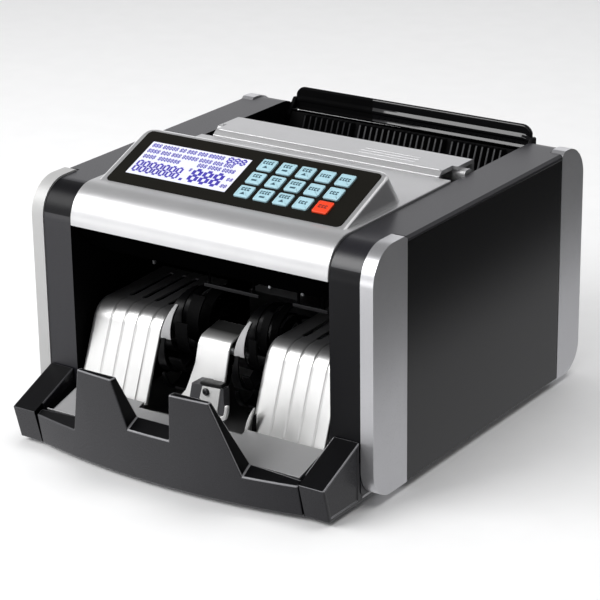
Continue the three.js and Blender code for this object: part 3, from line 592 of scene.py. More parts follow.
def hood():
    """The rolled shell with the console's wedge raised on it, and the recess for the console's parts."""
    low, high = low_high("hood")
    roll = arc((low.y + HOOD_ROLL, DECK_Z - HOOD_ROLL), HOOD_ROLL, 180, 90, 28)
    line = [(low.y, low.z), *roll, (high.y, DECK_Z)]
    shell = bevel(extrude(bent_sheet(line, HOOD_WALL), "yz", low.x, high.x), 0.6, 3, 60)
    outline = rounded([
        (-CONSOLE_X, -1.6, 0), (CONSOLE_X, -1.6, 0), (CONSOLE_X, CONSOLE_LENGTH, WEDGE_CORNER),
        (-CONSOLE_X, CONSOLE_LENGTH, WEDGE_CORNER),
    ], 10)
    wedge = extrude(outline, "xy", -30, 0)
    bevel(wedge, WEDGE_ROUND, 5, 60, lambda edge: all(v.co.z > -0.01 for v in edge.verts))
    wedge = on_console(moved(wedge, Matrix.Shear("XY", 4, (0, WEDGE_BACK_LEAN))))
    wedge = carve(wedge, [block((-100, 100), (-100, 20), (DECK_Z - 1.8, 200))], "INTERSECT")
    hollow = [(-64, DECK_Z - 4), (-64, 163.9), (-26, 178.6), (-12.5, 162.4), (-12.5, DECK_Z - 4)]
    whole = carve(shell, [wedge], "UNION")
    return carve(whole, [
        extrude(hollow, "yz", -90, 90),
        console_plate(rectangle(-88.3, 88.3, 1.3, 53.8, 3.6), -1.6, 6),
        console_plate(rectangle(-84.5, 84.5, 7.5, 50.5), -7, 6),
    ])


def hood_paint(face, corners):
    """Painted shade, black, on every face that looks into the machine, and a painted highlight, paler,
    along the console's rounded edges.
    """
    place = TO_CONSOLE @ (face.center / MM)
    tilt = math.degrees(face.normal.angle(CONSOLE_NORMAL))
    near_edge = abs(place.x) > CONSOLE_X - RIM_HIGHLIGHT_WIDTH or place.y > CONSOLE_LENGTH - RIM_HIGHLIGHT_WIDTH
    # Painted highlight along the console's rounded edges.
    if near_edge and -WEDGE_ROUND < place.z < 0.1 and 8 < tilt < 60 and place.y > 1:
        return "rim"
    # Painted shade on the faces inside the hood.
    behind_lip = face.normal.y > 0.5 and face.center.y < (HOOD_FRONT + HOOD_ROLL) * MM
    inward = face.normal.z < -0.1 or behind_lip
    return "deepest_black_and_shade" if inward and face.center.z < (DECK_Z - 1) * MM else None


def digit(u, v, width, height, stroke):
    """The seven bars of a digit, from its lower left corner."""
    gap = stroke * 0.25
    middle = v + height / 2
    inset = gap + stroke * 0.6
    lows = (v, middle - stroke / 2, v + height - stroke)
    bars = [rectangle(u + inset, u + width - inset, low, low + stroke) for low in lows]
    for left in (u, u + width - stroke):
        bars.append(rectangle(left, left + stroke, v + gap + stroke * 0.5, middle - gap))
        bars.append(rectangle(left, left + stroke, middle + gap, v + height - gap - stroke * 0.5))
    return bars


def digits(u, v, count, pitch, width, height, stroke):
    return [bar for i in range(count) for bar in digit(u + i * pitch, v, width, height, stroke)]


def indicators(u, v, groups, pitch=2.42, gap=1.1, size=(2.05, 4.1), stroke=0.8):
    """A row of small indicator marks in groups: framed blocks that stand for nothing in particular."""
    marks = []
    for count in groups:
        marks += digits(u, v, count, pitch, *size, stroke)
        u += count * pitch + gap
    return marks


def display():
    """The lit panel and its dark marks, placed from the panel's lower left corner."""
    u0, v0 = LCD_U[0], LCD_V[0]
    panel = bevel(extrude(rectangle(*LCD_U, *LCD_V, 0.5), "xy", -6.4, LCD_FACE), 0.15, 2, 60)
    piece("display_panel", on_console(panel), "lcd", ["display_module"])
    marks = [
        *indicators(u0 + 1.8, v0 + 27.2, (3, 5, 2, 3, 3, 5)),
        *indicators(u0 + 1.6, v0 + 21.6, (4, 3, 3, 5, 4, 3, 3)),
        *indicators(u0 + 2.0, v0 + 16.0, (4, 0, 7)),
        *indicators(u0 + 44, v0 + 16.8, (3, 4, 4)),
        *digits(u0 + 2.0, v0 + 2.4, 7, 5.15, 4.75, 11.6, 1.5),
        *digits(u0 + 60.4, v0 + 25.6, 3, 4.9, 4.5, 6.2, 1.35),
        *digits(u0 + 44.6, v0 + 2.4, 3, 8.3, 7.4, 13.4, 2.5),
        *indicators(u0 + 41.2, v0 + 11.6, (1,), size=(1.9, 3.6)),
        *indicators(u0 + 71.2, v0 + 9.6, (2,), size=(1.9, 3.6)),
        *indicators(u0 + 70.6, v0 + 3.0, (2,), size=(2.2, 3.6)),
        rectangle(u0 + 39.6, u0 + 41.8, v0 + 2.4, v0 + 4.6),
    ]
    piece("display_marks", printed(marks, LCD_FACE - 0.02), "segment")


def key_cap(u, v):
    """A moulded cap with a round rim and a slightly raised middle."""
    outline = rectangle(u - KEY_W / 2, u + KEY_W / 2, v - KEY_H / 2, v + KEY_H / 2, 1.1)
    cap = extrude(outline, "xy", -2.6, KEY_TOP - KEY_RAISE)
    bevel(cap, 0.5, 3, 60, lambda edge: all(vert.co.z > 0 for vert in edge.verts))
    top = max(cap.faces, key=lambda face: face.calc_center_median().z)
    bmesh.ops.inset_region(cap, faces=[top], thickness=0.9, depth=KEY_RAISE)
    return on_console(cap)


def key_legend(u, v, style):
    """Two lines of plain marks: a row of bars, and on most keys a small symbol under it."""
    shapes = []
    widths = LEGEND_WIDTHS[style % len(LEGEND_WIDTHS)]
    at = u - (sum(widths) + LEGEND_GAP * (len(widths) - 1)) / 2
    with_symbol = style % 5 < 3
    low = v + (0.3 if with_symbol else -1.4)
    for width in widths:
        for height in (low, low + 1.9):
            shapes.append(rectangle(at, at + width, height, height + 1.0))
        shapes.append(rectangle(at, at + 0.7, low + 0.9, low + 2.0))
        at += width + LEGEND_GAP
    if with_symbol:
        symbol = v - 2.3
        triangle = [(u - 1.9, symbol - 1.0), (u + 1.9, symbol - 1.0), (u, symbol + 1.4)]
        shapes.append((triangle, rectangle(u - 1.9, u + 1.9, symbol - 0.8, symbol + 0.7))[style % 2])
    return shapes


def keypad():
    for row in range(3):
        for column in range(5):
            name = f"key_{row + 1}_{column + 1}"
            u = KEY_FIRST[0] + column * KEY_PITCH[0]
            v = KEY_FIRST[1] - row * KEY_PITCH[1]
            red = name == "key_3_5"
            piece(name + "_cap", key_cap(u, v), "red_key" if red else "key", [name], name)
            marks = printed(key_legend(u, v, row * 5 + column), KEY_TOP - INK * 0.5)
            piece(name + "_legend", marks, "red_legend" if red else "legend", body=name)


hood_shell = piece("hood_shell", hood(), "silver", ["hood"])
repaint(hood_shell, ("deepest_black_and_shade", "rim"), hood_paint)
refined("control_overlay", "overlay", 0.12)
display()
keypad()
refined("control_board", "board", 0.1)


# -------- hopper, note flap and back
# The ribs' y and ends in x, the flap's measures, and where painted shade starts on the left part of the
# comb and flap.
COVER_RIBS = ((60.6, 20.6, 62.5), (56.2, 19.4, 63.8), (51.8, 21.0, 63.8))
RIB_HALF = 0.45
FIN_WIDTH = 4
FIN_SHADE_X = -40
FLAP_HALF = 93.8
FLAP_BOTTOM = 154.4
FLAP_MIDDLE = 149.6
FLAP_FRONT = 148
FLAP_ENDS = (0, 0.25, 0.7, 1.3, 2.1, 3.1, 4.3, 5.6, 7)
FLAP_TOP_ROUND = 7
FLAP_FOOT_ROUND = 3
FLAP_THINS = 1.3
BEAD_STATIONS = (-45, -30, -15, 0, 15)
BEAD_LEAST = 0.25
FLAP_SHADE_X = -30
REAR_LIP_Z = 152
BACK_SCREWS = ((-88, 16), (88, 16), (-88, 130), (88, 130), (0, 130), (0, 16))
LABEL_BARS = (26, 34, 20, 30, 26)
INLET_PINS = ((-7, -1.5), (0, 2.5), (7, -1.5))


def hopper_cover():
    """The raised cover, with a step along its front and three low ribs pressed into its right half."""
    cover = bevel(cad_copy("hopper_cover"), 0.5, 3)
    top = low_high("hopper_cover")[1].z
    raised = []
    for y, first, last in COVER_RIBS:
        outline = rectangle(first, last, y - RIB_HALF, y + RIB_HALF, 0.4, 4)
        raised.append(bevel(extrude(outline, "xy", top - 0.5, top + 0.16), 0.12, 2, 60))
    raised.append(bevel(block((-85.5, 85.5), (44.6, 46.0), (top - 0.5, top + 0.2)), 0.12, 2, 60))
    return carve(cover, raised, "UNION")


def flap_ring(section, x, top):
    """The flap's section at x: its ends round off, and the bead on its front grows from left to right."""
    first, last = BEAD_STATIONS[0], BEAD_STATIONS[-1]
    grown = max(0.0, min(1.0, (x - first) / (last - first)))
    bead = BEAD_LEAST + (1 - BEAD_LEAST) * grown * grown * (3 - 2 * grown)
    into = FLAP_HALF - abs(x)
    drop = FLAP_TOP_ROUND - math.sqrt(FLAP_TOP_ROUND ** 2 - max(0, FLAP_TOP_ROUND - into) ** 2)
    rise = FLAP_FOOT_ROUND - math.sqrt(FLAP_FOOT_ROUND ** 2 - max(0, FLAP_FOOT_ROUND - into) ** 2)
    thin = 1 if into > FLAP_THINS else 0.35 + 0.65 * math.sqrt(1 - (1 - into / FLAP_THINS) ** 2)
    scale = (top - drop - FLAP_BOTTOM - rise) / (top - FLAP_BOTTOM)
    ring = []
    for y, z in section:
        beaded = FLAP_FRONT - (FLAP_FRONT - y) * bead if y < FLAP_FRONT else y
        up = FLAP_BOTTOM + rise + (z - FLAP_BOTTOM) * scale
        ring.append((x, FLAP_MIDDLE + (beaded - FLAP_MIDDLE) * thin, up))
    return ring


def flap_plate():
    """The glossy plate, lofted across from the sections at its stations."""
    top = low_high("note_flap")[1].z
    section = rounded([
        (151.4, FLAP_BOTTOM, 1.2), (151.4, top, 1.9), (FLAP_FRONT, top, 1.5), (FLAP_FRONT, 164.9, 0.5),
        (147.6, 164.2, 0.3), (146.5, 162.7, 0.5), (146.5, 161.0, 0.8), (147.8, 160.4, 0.8),
        (147.8, 157.2, 0.4), (147.5, 156.5, 0.2), (146.8, 155.5, 0.3), (146.9, FLAP_BOTTOM, 0.5),
    ], 6)
    ends = [FLAP_HALF - d for d in FLAP_ENDS]
    bm = bmesh.new()
    stations = [*[-x for x in ends], *BEAD_STATIONS, *reversed(ends)]
    rings = [[bm.verts.new(point) for point in flap_ring(section, x, top)] for x in stations]
    for one, two in zip(rings, rings[1:]):
        join_rings(bm, one, two)
    bm.faces.new(rings[0])
    bm.faces.new(rings[-1])
    bmesh.ops.recalc_face_normals(bm, faces=bm.faces)
    return bm


def flap_arm():
    """The right end's arm, from the plate down to its pin in the cheek."""
    outline = rounded([
        (139.2, 147.6, 2.2), (145.4, 146.8, 2.2), (151.4, 157.6, 3),
        (151.4, 163.2, 1.6), (147.6, 163.2, 1.6), (139, 153.2, 3),
    ], 6)
    arm = bevel(extrude(outline, "yz", 93.1, 96.2), 0.7, 3, 60)
    pin = turned([(0, 0), (0, 1.5), (3.5, 1.5), (3.8, 1.2), (3.8, 0)], (95, 142, 150), ALONG_X, 20)
    return together(arm, pin)


def flap_paint(face, corners):
    """Painted shade: dull black on the left of the flap's front, which catches no light."""
    return "dull_black_and_shade" if face.center.x < FLAP_SHADE_X * MM and face.normal.y < -0.1 else None


def comb_paint(face, corners):
    """Painted shade: black everywhere but on the fronts of the fins, and dimmer on those at the left."""
    across = [corner.x for corner in corners]
    if face.normal.y >= -0.6 or max(across) - min(across) >= FIN_WIDTH * MM:
        return "dull_black_and_shade"
    return "comb_painted_shade" if face.center.x < FIN_SHADE_X * MM else None


def rear_paint(face, corners):
    """Painted shade: black on the back cover's lip, under the flap."""
    return "deepest_black_and_shade" if face.center.z > REAR_LIP_Z * MM and face.normal.y < 0.3 else None


def back_details():
    """Screws, a vent filter and a plain rating label on the back cover, and pins in the inlet."""
    back = low_high("rear_cover")[1].y
    inner = back - 2.8
    for number, (x, z) in enumerate(BACK_SCREWS, 1):
        screw(f"back_screw_{number}", (x, back, z), (0, 1, 0), 2.6, "black_screw")
    vent_filter = bevel(block((16, 80), (inner - 1.3, inner - 0.1), (46, 112)), 0.2, 2)
    piece("vent_filter", vent_filter, "dull_black_and_shade")
    label = extrude(rectangle(-72, -28, 62, 90, 2), "xz", back - 0.05, back + 0.12)
    piece("rating_label", label, "label")
    shapes = []
    for number, width in enumerate(LABEL_BARS):
        z = 84.6 - 4.3 * number
        shapes.append(rectangle(-68, -68 + width, z, z + 1.4))
    shapes.append(rectangle(-40, -32, 65, 73, 1))
    marks = [extrude(shape, "xz", back + 0.08, back + 0.2) for shape in shapes]
    piece("rating_label_marks", together(*marks), "comb")
    low, high = low_high("mains_inlet")
    middle = (low + high) / 2
    for number, (dx, dz) in enumerate(INLET_PINS, 1):
        x, z = middle.x + dx, middle.z + dz
        pin = bevel(block((x - 1.15, x + 1.15), (136.6, 150.4), (z - 2.15, z + 2.15)), 0.4, 3, 60)
        piece(f"inlet_pin_{number}", pin, "brass")


piece("hopper_cover_shell", hopper_cover(), "silver", ["hopper_cover"])
repaint(refined("hopper_comb", "comb", 0.25), ("dull_black_and_shade", "comb_painted_shade"), comb_paint)
note_flap = together(flap_plate(), flap_arm(), mirrored(flap_arm()))
flap = piece("flap", note_flap, "gloss", ["note_flap"], "note_flap")
repaint(flap, ("dull_black_and_shade",), flap_paint)
repaint(refined("rear_cover", "panel", 0.3), ("deepest_black_and_shade",), rear_paint)
refined("mains_inlet", "comb", 0.3)
refined("switch_frame", "comb", 0.3)
refined("switch_rocker", "gloss", 0.3, "switch_rocker")
back_details()


# -------- tray
TRAY_PAINTS = ("tray_top_shade", "tray_edge_highlight", "dim_tray_highlight")
TRAY_STRIP = 0.75
TRAY_LEVEL = 0.12
TRAY_SHADE_X = -64
FILLER_DEPTH = 22
SEAM_WIDTH = 0.9
SEAM_PROUD = 0.12
LEDGE_WIDTH = 4.5
LEDGE_RISE = 0.9
LEDGE_SUNK = 0.3
FLOOR_SLOPE = 0.282


def tray_end(side):
    """An end block whose outer side carries a sunk panel."""
    bm = cad_copy(f"tray_end_{side}")
    outer = max(bm.faces, key=lambda face: (abs(face.calc_center_median().x), face.calc_area()))
    bmesh.ops.inset_region(bm, faces=[outer], thickness=2.2, depth=0)
    bmesh.ops.inset_region(bm, faces=[outer], thickness=0.5, depth=-0.6)
    return bevel(bm, 0.6)


def tray_seam(side):
    """The black joint at the front between an end block and the tray, a hair proud of both."""
    low, high = low_high(f"tray_end_{side}")
    x = high.x if side == "left" else low.x
    across = sorted((x, x + math.copysign(SEAM_WIDTH, x)))
    window = block(across, (low.y - 1, low.y + 8), (low.z - 1, high.z - 1.2))
    seam = carve(cad_copy(f"tray_end_{side}"), [window], "INTERSECT")
    return moved(seam, Matrix.Translation((0, -SEAM_PROUD, 0)))


def corner_filler(side):
    """The end block's body carried back under the round foot of the corner trim."""
    low, high = low_high("tray_end_right")
    front, back = high.y - 0.1, high.y + FILLER_DEPTH
    section = [(front, low.z), (back, low.z), (back, low.z + 4), (front, low.z + 26)]
    filler = bevel(extrude(section, "yz", low.x + 0.3, high.x - 0.3), 0.5)
    return filler if side == "right" else mirrored(filler)


def tray_paint(face, corners):
    """Painted shade on the upper faces, and painted highlights as pale narrow lines along their edges,
    dimmer at the left.
    """
    if face.normal.z < TRAY_LEVEL:
        return None
    longest = max((a - b).length for a, b in zip(corners, [*corners[1:], corners[0]]))
    if face.area / longest >= TRAY_STRIP * MM:
        return "tray_top_shade"
    return "dim_tray_highlight" if face.center.x < TRAY_SHADE_X * MM else "tray_edge_highlight"


def floor_ledge():
    """A dark ledge on the tray's sloping floor, beside the left end block."""
    low, high = low_high("tray_floor")
    front, back = low.y + 0.6, high.y - 0.2
    corners = ((front, -LEDGE_SUNK), (back, -LEDGE_SUNK), (back, LEDGE_RISE), (front, LEDGE_RISE))
    section = [(y, high.z - FLOOR_SLOPE * (high.y - y) + rise) for y, rise in corners]
    return bevel(extrude(section, "yz", low.x, low.x + LEDGE_WIDTH), 0.25)


repaint(refined("tray_front", "charcoal", 0.8), TRAY_PAINTS, tray_paint)
for side in ("left", "right"):
    node = f"tray_end_{side}"
    end_block = piece(node + "_shell", tray_end(side), "charcoal", [node])
    repaint(end_block, TRAY_PAINTS, tray_paint)
refined("tray_floor", "sheet", 0.15)
piece("floor_ledge", floor_ledge(), "deepest_black_and_shade")
for side in ("left", "right"):
    piece(f"tray_seam_{side}", tray_seam(side), "deepest_black_and_shade")
    piece(f"corner_filler_{side}", corner_filler(side), "charcoal")


# -------- stacker
PLATE_STARTS = (("left", -94.4), ("right", 39.6))
PLATE_WIDTH = 54.8
PLATE_WALL = 1.2
PLATE_LINE = [
    (-102.4, 31.2), (-99.4, 38.9), (-96.3, 46.8), (-93.3, 54.6),
    *arc((-70, 68.6), 16.4, 158, 96, 18), (-58, 84.9), (-44, 85.4), (-28, 86), (-12, 86.5),
]
GROOVES = (15.2, 25.5, 35.5, 46.2)
GROOVE_HALF, GROOVE_DEPTH = 1.1, 0.42
SLOT_HALF = 1.8
SLOT_ENDS = (-64, -19)
GUIDE_WALL = 1.1
GUIDE_LINE = [
    (-97.4, 31), (-96.1, 35), (-94.7, 39), (-93, 44), (-91.3, 50), (-88, 61.3), (-84.6, 73),
    *arc((-76.6, 70.4), 8.2, 158, 100, 8), (-70, 80.1), (-62, 81.5),
]
GUIDE_FLARE = (12.5, 10.4, 8, 4.2, 2.6)
EDGE_BAND, EDGE_DROP = 0.5, 0.35
# Parts with a flat front: name, paint, outline in (x, z), front and back, and how their edges are rounded.
# The first is the curled corner at the foot of the right plate, in the brighter bracket paint as a painted
# highlight, and the second a dark sheet inside it as a painted shadow.
LIP_PARTS = (
    ("plate_lip", "bracket",
     [(44.2, 49), (41.5, 45), (38.8, 39.5), (37, 33.5), (36, 28), (39, 28), (39.5, 33.5), (41.1, 39),
      (43, 44)], (-103.2, -101.4), (0.5, 3, 40)),
    ("plate_lip_shadow", "dull_black_and_shade",
     [(41.4, 29.5), (44.6, 29.5), (45.2, 45), (43.2, 43)], (-103.0, -101.6), (0.2, 2, 40)),
)
BRACKET_PARTS = (
    ("bracket_block", "casting",
     [(-4.4, 45), (-2.2, 55.4), (6.9, 56), (4.2, 45)], (-103.6, -92.6), (0.5, 2)),
    ("bracket_face", "bracket",
     [(6.6, 55.4), (20.4, 56.2), (17.2, 39.6), (4.1, 46.6)], (-104.6, -103.4), (0.3, 2)),
    ("bracket_bar", "rubber",
     rounded([(4.6, 56, 1.2), (5.6, 58.6, 1.3), (21.6, 59.2, 1.3), (22, 56.6, 1.2)], 5),
     (-105, -99), (0.6, 3, 50)),
    ("bracket_side", "casting",
     [(20.4, 56.2), (22.4, 56.4), (22.4, 38.4), (17.2, 38.6)], (-104.2, -97.8), (0.3, 2)),
    ("bracket_tab", "bracket",
     [(25.6, 46), (23.4, 46), (22.9, 42.6), (22.2, 39.4), (20.6, 38), (18, 37.4), (18.2, 34.8), (22, 35.2),
      (24.2, 37), (25.2, 40.6)], (-104.9, -102.4), (0.7, 3, 30)),
)
WHEEL_AXIS = (-60, 62)
WHEEL_RADIUS = 37.4
HUB_RADIUS = 9
BORE_RADIUS = 3.3
SLEEVE_WALL = 1.2
VANES = 10
VANE_STEPS = 18
VANE_ROOT = 1.5
TIP_ANGLE = 122
HOOK_SWEEP = 64
PADDLE_SWEEP = 50
PADDLE_LAG = 18


def rolled_edge(radius, sweep, steps):
    """Columns (inward, depth) of an edge that rolls back, from where it leaves the sheet to its end."""
    whole = math.sin(math.radians(sweep))
    turns = [math.radians(sweep * step / steps) for step in range(steps + 1)]
    return [(radius * (whole - math.sin(turn)), radius * (1 - math.cos(turn))) for turn in turns]


def plate_columns(start):
    """Where the columns of a plate's grid stand, and how far each lies below its face."""
    columns = rolled_edge(4.2, 66, 7)[::-1]
    for groove in GROOVES:
        for step in range(9):
            along = -1 + step / 4
            depth = GROOVE_DEPTH * (1 + math.cos(math.pi * along)) / 2
            columns.append((groove + along * GROOVE_HALF, depth))
    columns += [(PLATE_WIDTH - inward, depth) for inward, depth in rolled_edge(1.0, 60, 5)]
    return [(start + across, depth) for across, depth in columns]


def stacker_plate(start):
    """A pressed plate: its left edge rolls back, and four grooves run up its front and end in slots."""
    columns = plate_columns(start)
    plate = swept_sheet(PLATE_LINE, lambda i: columns, PLATE_WALL)
    slots = []
    for groove in GROOVES:
        middle = start + groove
        outline = rectangle(middle - SLOT_HALF, middle + SLOT_HALF, *SLOT_ENDS, SLOT_HALF - 0.1)
        slots.append(extrude(outline, "xy", 76, 92))
    return carve(plate, slots)


def centre_guide():
    """The guide between the wheels; its left edge flares out at the foot."""
    low, high = low_high("centre_guide")

    def columns(i):
        first = low.x - (GUIDE_FLARE[i] if i < len(GUIDE_FLARE) else 0)
        inner = [(x, 0) for x in (first + EDGE_BAND, (low.x + high.x) / 2, high.x - EDGE_BAND)]
        return [(first, EDGE_DROP), *inner, (high.x, EDGE_DROP)]

    return swept_sheet(GUIDE_LINE, columns, GUIDE_WALL)


def sheet_parts(rows):
    for name, paint, outline, depth, rounding in rows:
        nodes = ["sensor_bracket"] if name == "bracket_block" else ()
        piece(name, bevel(extrude(outline, "xz", *depth), *rounding), paint, nodes)


def vane(start, hooked, first, last, lift=0.0, wall=1.5, root=0.0):
    """One vane, from root, a share of its length, to its tip. A hooked one ends along the rim, narrower."""
    sweep = HOOK_SWEEP if hooked else PADDLE_SWEEP
    inner = HUB_RADIUS - VANE_ROOT
    shares = [root + (1 - root) * step / VANE_STEPS for step in range(VANE_STEPS + 1)]
    line = []
    for share in shares:
        grown = math.sin(share * math.pi / 2) if hooked else share
        radius = inner + (WHEEL_RADIUS - 0.2 - inner) * grown
        angle = math.radians(start - sweep * share ** 1.8)
        line.append((WHEEL_AXIS[0] + radius * math.cos(angle), WHEEL_AXIS[1] + radius * math.sin(angle)))

    def columns(i):
        taper = max(0, 2 * shares[i] - 1) if hooked else 0
        low = first + 5.6 * taper ** 1.4
        high = last - 1.6 * taper
        return [(x, 0) for x in (low, (low + high) / 2, high)]

    return bevel(swept_sheet(line, columns, wall, lift), 0.2, 2, 50)


def wheel(side, hub, hooked_x, plain_x):
    """A stacker wheel: a hub with a ring of hooked vanes, a ring of rubber ones, and a pale strip on one
    vane as a painted highlight.
    """

    def shaft_part(profile, steps=48):
        return turned(profile, (0, *WHEEL_AXIS), ALONG_X, steps)

    first, last = hub
    rim = [(first, HUB_RADIUS - 1), (first + 1, HUB_RADIUS), (last - 1, HUB_RADIUS), (last, HUB_RADIUS - 1)]
    starts = [TIP_ANGLE + i * 360 / VANES for i in range(VANES)]
    hooked = [vane(start + HOOK_SWEEP, True, *hooked_x) for start in starts]
    body = carve(shaft_part([(first, 0), *rim, (last, 0)]), [together(*hooked)], "UNION")
    body = carve(body, [shaft_part(rod(first - 1, last + 1, BORE_RADIUS), 32)])
    piece(f"wheel_{side}", body, "wheel", [f"stacker_wheel_{side}"], "stacker")
    sleeve = shaft_part(rod(*plain_x, HUB_RADIUS + SLEEVE_WALL))
    paddles = [vane(start + PADDLE_SWEEP + PADDLE_LAG, False, *plain_x) for start in starts]
    rubber = carve(sleeve, [together(*paddles)], "UNION")
    rubber = carve(rubber, [shaft_part(rod(plain_x[0] - 1, plain_x[1] + 1, HUB_RADIUS))])
    piece(f"paddles_{side}", rubber, "dull_black_and_shade", body="stacker")
    # A paler strip on the top vane: painted highlight.
    glint = vane(TIP_ANGLE + HOOK_SWEEP, True, *hooked_x, lift=0.25, wall=0.5, root=0.62)
    piece(f"vane_glint_{side}", glint, "vane_glint_paint", body="stacker")


for side, start in PLATE_STARTS:
    node = f"stacker_plate_{side}"
    piece(f"plate_{side}", stacker_plate(start), "plate", [node], smooth=30)
sheet_parts(LIP_PARTS)
piece("guide", centre_guide(), "guide", ["centre_guide"], smooth=30)
sheet_parts(BRACKET_PARTS)
screw("bracket_screw", (9.6, -104.6, 52.2), (0, -1, 0), 2.5, "black_screw")
wheel("left", (-36.5, -15.5), (-36.4, -27.3), (-24.7, -15.6))
wheel("right", (15.5, 36.5), (19.9, 29.0), (31.0, 36.4))
refined("stacker_shaft", "motor", 0.15, "stacker")
refined("count_roller", "rubber", 0.2, "count_roller")
refined("kick_roller", "rubber", 0.2, "kick_roller")
refined("motor_pulley", "steel", 0.15, "motor_pulley")


# -------- inside and underneath
# The studs under the upper guide: x, y, the height of root and tip, and paint; the first one's darker paint
# is painted shade.
GUIDE_STUDS = (
    (-45.8, -80.5, 120.0, 117.6, "comb"), (10.8, -71.7, 119.4, 116.8, "motor"),
    (39.6, -77.1, 120.0, 117.0, "motor"), (63.5, -76.9, 120.0, 117.0, "motor"),
)
STUD_RADIUS = 1.2
GUIDE_BARS = ((-7.5, 33.5), (58.5, 84.0))
HANGER_INSET = 4

refined("stacker_belt", "rubber", 0.15)
refined("feed_belt", "rubber", 0.15)
refined("drive_motor", "motor", 0.4)
refined("upper_guide", "deepest_black_and_shade", 0.3)
refined("lower_guide", "dull_black_and_shade", 0.3)
for number, (x, y, root, tip, paint) in enumerate(GUIDE_STUDS, 1):
    profile = [(0, 0), (0, 0.6), (0.5, STUD_RADIUS), (root - tip, STUD_RADIUS), (root - tip, 0)]
    stud = turned(profile, (x, y, tip), (0, 0, 1), 24)
    piece(f"guide_stud_{number}", stud, paint)
for number, (first, last) in enumerate(GUIDE_BARS, 1):
    places = (first + HANGER_INSET, last - HANGER_INSET)
    hangers = [block((x - 0.8, x + 0.8), (-80.4, -79.6), (112, 120.0)) for x in places]
    piece(f"guide_bar_hangers_{number}", together(*hangers), "deepest_black_and_shade")
    bar = bevel(block((first, last), (-81.0, -79.4), (110.4, 112.8)), 0.5, 3)
    piece(f"guide_bar_{number}", bar, "column")
refined("power_supply", "supply", 0.4)
refined("base_pan", "sheet", 0.3)
for corner in ("front_left", "front_right", "rear_left", "rear_right"):
    refined(f"foot_{corner}", "foot", 0.5)
    low, high = low_high(f"foot_{corner}")
    middle = (low + high) / 2
    screw(f"foot_screw_{corner}", (middle.x, middle.y, 1.4), (0, 0, -1), 1.9)
for number, x in enumerate((-60, -20, 20, 60), 1):
    screw(f"base_screw_{number}", (x, 120, low_high("base_pan")[0].z), (0, 0, -1), 2.4)


# -------- stage, lights and camera
CAMERA_PLACE = Vector((0.80804, -1.16572, 0.61313))
CAMERA_AZIMUTH = math.radians(34.444)
CAMERA_ELEVATION = math.radians(20.713)
CAMERA_ROLL = math.radians(-0.815)
CAMERA_LENS = 140.9
# The card's brightness from left to right, near the object and at the front, and over which distances it
# goes from one to the other, on to its bright far part, and down to its dark front right corner.
CARD_X = (-0.3, 0.3)
CARD_STOPS = [(0.0, 1.0), (0.5, 1.0), (0.68, 0.6), (0.87, 0.55), (1.0, 0.0)]
CARD_OUTER_STOPS = [(0.0, 0.95), (0.06, 1.5), (0.18, 1.45), (0.35, 0.5), (1.0, 0.05)]
CARD_OUTER_Y = (-0.36, -0.27)
CARD_FAR = 2.4
CARD_FAR_Y = (-0.9, -0.45)
CARD_CORNER = 0.02
CARD_CORNER_X = (0.17, 0.22)
CARD_CORNER_Y = (-0.27, -0.21)
# The sky's brightness from straight down to straight up, and how dim it gets towards the right.
SKY_STOPS = [(0.0, 0.02), (0.48, 0.03), (0.505, 0.95), (0.67, 1.0), (0.80, 0.24), (1.0, 0.12)]
SKY_DIM = 0.08
SKY_DIM_X = (0.25, 0.7)


def camera():
    data = bpy.data.cameras.new("camera")
    data.lens = CAMERA_LENS
    data.sensor_width = 36
    data.clip_start = 0.05
    data.clip_end = 20
    obj = linked("camera", data)
    x, y, across = math.sin(CAMERA_AZIMUTH), -math.cos(CAMERA_AZIMUTH), math.cos(CAMERA_ELEVATION)
    back = Vector((x * across, y * across, math.sin(CAMERA_ELEVATION)))
    level = (-back).to_track_quat("-Z", "Y").to_matrix().to_4x4()
    obj.matrix_world = Matrix.Translation(CAMERA_PLACE) @ level @ Matrix.Rotation(CAMERA_ROLL, 4, "Z")
    bpy.context.scene.camera = obj


def softbox(name, direction, distance, size, power, target=(0, 0, 0.08)):
    data = bpy.data.lights.new(name, "AREA")
    data.shape = "RECTANGLE"
    data.size, data.size_y = size
    data.energy = power
    obj = linked(name, data)
    away = Vector(direction).normalized()
    obj.location = Vector(target) + away * distance
    obj.rotation_euler = away.to_track_quat("Z", "Y").to_euler()
    return obj


def flat(name, x, y, height, paint):
    """A level rectangle of the studio, in metres."""
    mesh = bpy.data.meshes.new(name)
    corners = [(x[0], y[0], height), (x[1], y[0], height), (x[1], y[1], height), (x[0], y[1], height)]
    mesh.from_pydata(corners, [], [(0, 1, 2, 3)])
    mesh.materials.append(paint)
    obj = linked(name, mesh)
    return obj


def grey(value):
    return (value, value, value, 1.0)


def ramp(tree, value, stops):
    node = add_node(tree, "ValToRGB", {"Fac": value})
    elements = node.color_ramp.elements
    for place, _ in stops[len(elements):]:
        elements.new(place)
    for element, (place, level) in zip(elements, stops):
        element.position = place
        element.color = (level, level, level * 1.02, 1.0)
    return node.outputs["Color"]


def floor():
    """Pale paper that the object stands on. Glossy surfaces see the card below it instead."""
    paper = surface("floor_paper", (0.92, 0.92, 0.92), 0.6, specular=0.2, mottle=0.01, grain=600, bump=0.02)
    obj = flat("floor", (-40, 40), (-40, 40), 0, paper)
    obj.visible_glossy = False


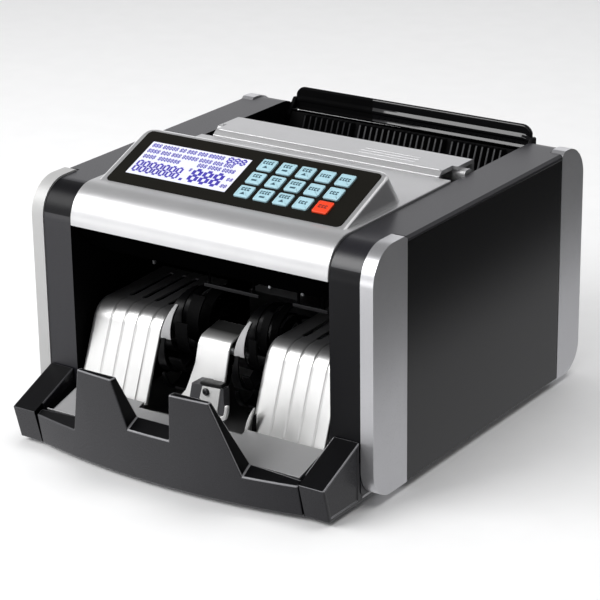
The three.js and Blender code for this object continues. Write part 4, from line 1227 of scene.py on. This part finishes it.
def floor_card():
    """What glossy surfaces see of the floor: bright far out, dimmer to the right, dark at that corner."""
    made = bpy.data.materials.new("floor_card")
    made.use_nodes = True
    tree = made.node_tree
    shader = tree.nodes["Principled BSDF"]
    place = add_node(tree, "TexCoord").outputs["Object"]
    split = add_node(tree, "SeparateXYZ", {"Vector": place})
    x, y = split.outputs["X"], split.outputs["Y"]
    along = remap(tree, x, 0, 1, CARD_X)
    outward = remap(tree, y, 1, 0, CARD_OUTER_Y)
    bright = mix(tree, outward, ramp(tree, along, CARD_STOPS), ramp(tree, along, CARD_OUTER_STOPS))
    bright = mix(tree, remap(tree, y, 1, 0, CARD_FAR_Y), bright, grey(CARD_FAR))
    corner_inputs = {0: remap(tree, x, 0, 1, CARD_CORNER_X), 1: remap(tree, y, 1, 0, CARD_CORNER_Y)}
    corner = add_node(tree, "Math", corner_inputs, operation="MULTIPLY")
    bright = mix(tree, corner.outputs["Value"], bright, grey(CARD_CORNER))
    tree.links.new(bright, shader.inputs["Emission Color"])
    shader.inputs["Emission Strength"].default_value = 1.0
    shader.inputs["Base Color"].default_value = grey(0)
    shader.inputs["Specular IOR Level"].default_value = 0
    obj = flat("floor_card", (-6.0, 0.3), (-6.0, 1.0), -0.002, made)
    for rays in ("camera", "diffuse", "transmission", "shadow"):
        setattr(obj, "visible_" + rays, False)


def world():
    """Bright near the horizon, dimmer overhead, dark below and to the right."""
    made = bpy.data.worlds.new("studio")
    made.use_nodes = True
    tree = made.node_tree
    place = add_node(tree, "TexCoord").outputs["Generated"]
    split = add_node(tree, "SeparateXYZ", {"Vector": place})
    height = remap(tree, split.outputs["Z"], 0, 1, (-1, 1))
    beside = remap(tree, split.outputs["X"], 0, 1, SKY_DIM_X)
    sky = mix(tree, beside, ramp(tree, height, SKY_STOPS), grey(SKY_DIM))
    tree.links.new(sky, tree.nodes["Background"].inputs["Color"])
    bpy.context.scene.world = made


camera()
floor()
floor_card()
world()
softbox("key_light", (-0.50, -0.61, 0.62), 1.8, (1.4, 0.9), 25)
top_light = softbox("top_light", (0.1, 0.15, 1.0), 1.9, (1.8, 1.8), 26)
top_light.visible_glossy = False
bpy.context.scene.view_settings.view_transform = "Standard"
